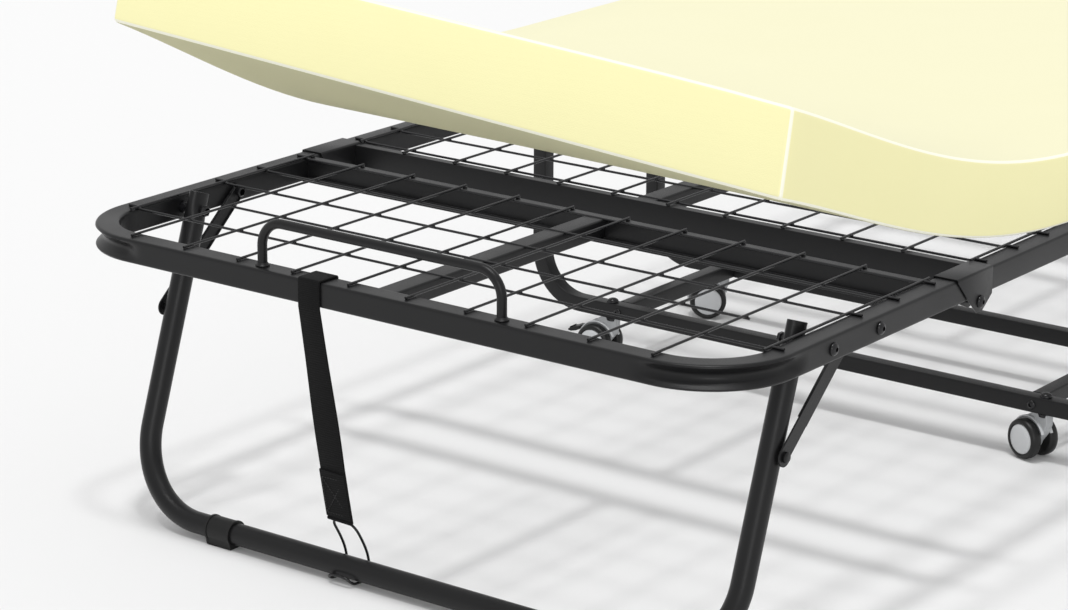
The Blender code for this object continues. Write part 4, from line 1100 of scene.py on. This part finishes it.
def foam_finish(name, light, deep):
    """Foam in a knitted skin: tiny loops as bump, slow soft dents, and a slight colour drift."""
    finish, tree, shader = plain_finish(
        name, {"Specular IOR Level": 0.15, "Sheen Weight": 0.10, "Sheen Roughness": 0.6}
    )
    place = new_node(tree, "TexCoord").outputs["Object"]
    loops = new_node(tree, "TexVoronoi", {"Scale": 650.0, "Randomness": 0.55, "Vector": place})
    loops = loops.outputs["Distance"]
    dents = new_node(tree, "TexNoise", {"Scale": 9.0, "Detail": 2.0, "Vector": place}).outputs["Fac"]
    soft = new_node(tree, "Bump", {"Strength": 0.25, "Distance": 0.004, "Height": dents}).outputs["Normal"]
    knit = new_node(tree, "Bump", {"Strength": 0.35, "Distance": 0.0004, "Height": loops, "Normal": soft})
    drift = mixed(tree, dents, (*light, 1.0), (*deep, 1.0))
    nap = new_node(tree, "MapRange", {"To Min": 0.86, "To Max": 0.98, "Value": loops}).outputs["Result"]
    filled(shader, {"Base Color": drift, "Roughness": nap, "Normal": knit.outputs["Normal"]})
    return finish


# The top keeps the plain cream; the copies below stand in for the light and shade on the other faces.
foam_cream = foam_finish("foam_cream", (0.812, 0.788, 0.548), (0.802, 0.778, 0.532))
# Underside: a darker copy of the cream as painted shade.
foam_painted_shade_under = foam_finish("foam_underside", (0.57, 0.55, 0.325), (0.55, 0.53, 0.31))
# Sides and ends: a brighter, more saturated copy of the cream as painted light.
foam_border = foam_finish("foam_border", (0.905, 0.866, 0.490), (0.897, 0.857, 0.476))
# Rounded edges: a paler copy of the cream as a painted highlight.
foam_piping = foam_finish("foam_piping", (0.93, 0.92, 0.78), (0.92, 0.91, 0.76))
# Slots of the painted shade, painted light and painted highlight copies of the foam.
FOAM_SLOTS = {"under": 1, "sides_painted_light": 2, "edges_painted_highlight": 3}


def foam_painted_light_by_facing(facing):
    """Picks a face's painted highlight, painted shade, painted light or plain top colour from the way it
    faces.
    """
    if sum(abs(part) > 0.2 for part in facing) > 1:
        return FOAM_SLOTS["edges_painted_highlight"]
    if facing.z < -0.5:
        return FOAM_SLOTS["under"]
    return 0 if facing.z > 0.5 else FOAM_SLOTS["sides_painted_light"]


def lifted(point):
    """Turns a point of the flat slab about the lift line, more and more towards the foot end."""
    out = (lift_line.x - point.x) / (lift_line.x - foot_end_x)
    fuller = 1 + (FOAM_END_THICK / foam_thick - 1) * out
    flat = Vector((point.x - lift_line.x, 0, (point.z - lift_line.z) * fuller))
    turn = lift + FOAM_TWIST * point.y / (FOAM_WIDE / 2)
    placed = flat.copy()
    for _ in range(8):
        placed = Matrix.Rotation(turn * eased(placed.x / (end_x - lift_line.x)), 3, "Y") @ flat
    return Vector((placed.x + lift_line.x, point.y, placed.z + lift_line.z))


def foam_slab(name, x0, x1, rounded_at, bodies, node):
    """A length of the slab. rounded_at is the end with softened edges; the other meets its neighbour."""
    middle_z = (foam_low.z + foam_high.z) / 2
    bm = bmesh.new()
    start = (x0, 0, middle_z)
    mouth = box_end(bm, start, (1, 0, 0), FOAM_WIDE, foam_thick, FOAM_EDGE)
    steps = max(2, round((x1 - x0) / FOAM_STEP))
    bent(bm, mouth, start, (1, 0, 0), [("run", (x1 - x0) / steps)] * steps)
    if rounded_at is not None:
        rim = [e for e in bm.edges if all(abs(v.co.x - rounded_at) < 1e-5 for v in e.verts)]
        bmesh.ops.bevel(bm, geom=rim, offset=FOAM_EDGE, segments=4, affect="EDGES", profile=0.5, material=-1)
    long_edges = [e for e in bm.edges if abs(e.verts[0].co.y - e.verts[1].co.y) > 0.5 * FOAM_WIDE]
    bmesh.ops.subdivide_edges(bm, edges=long_edges, cuts=FOAM_CUTS)
    bmesh.ops.triangulate(bm, faces=[f for f in bm.faces if len(f.verts) > 4])
    bmesh.ops.recalc_face_normals(bm, faces=bm.faces)
    for face in bm.faces:
        face.material_index = foam_painted_light_by_facing(face.normal)
    for vert in bm.verts:
        if vert.co.z > middle_z:
            vert.co.z -= FOAM_EDGE_DROP * (abs(vert.co.y) / (FOAM_WIDE / 2)) ** 6
        if vert.co.x < lift_line.x - 1e-6:
            vert.co = lifted(vert.co)
    piece = finished(name, bm, foam_cream, bodies[0], "foam", stands_for=node)
    # Adds the painted shade, painted light and painted highlight copies of the foam.
    for skin in (foam_painted_shade_under, foam_border, foam_piping):
        piece.data.materials.append(skin)
    piece.parent = None
    del piece["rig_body"]
    piece.matrix_world = Matrix.Identity(4)
    piece.visible_shadow = piece.visible_diffuse = piece.visible_glossy = False
    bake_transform(piece)


# The foot slab turns up a little less at the near side than at the far side.
foam_slab(
    "mattress_foot_slab", foot_end_x, lift_line.x, foot_end_x, ("foot_half", "mattress_lift"),
    ["mattress_foot"],
)
foam_slab(
    "mattress_middle_slab", lift_line.x, 0.0, None, ("base", "foot_half"),
    ["mattress_middle"],
)
foam_slab(
    "mattress_head_slab", 0.0, foam_high.x, foam_high.x, ("base", "head_half"),
    ["mattress_head"],
)
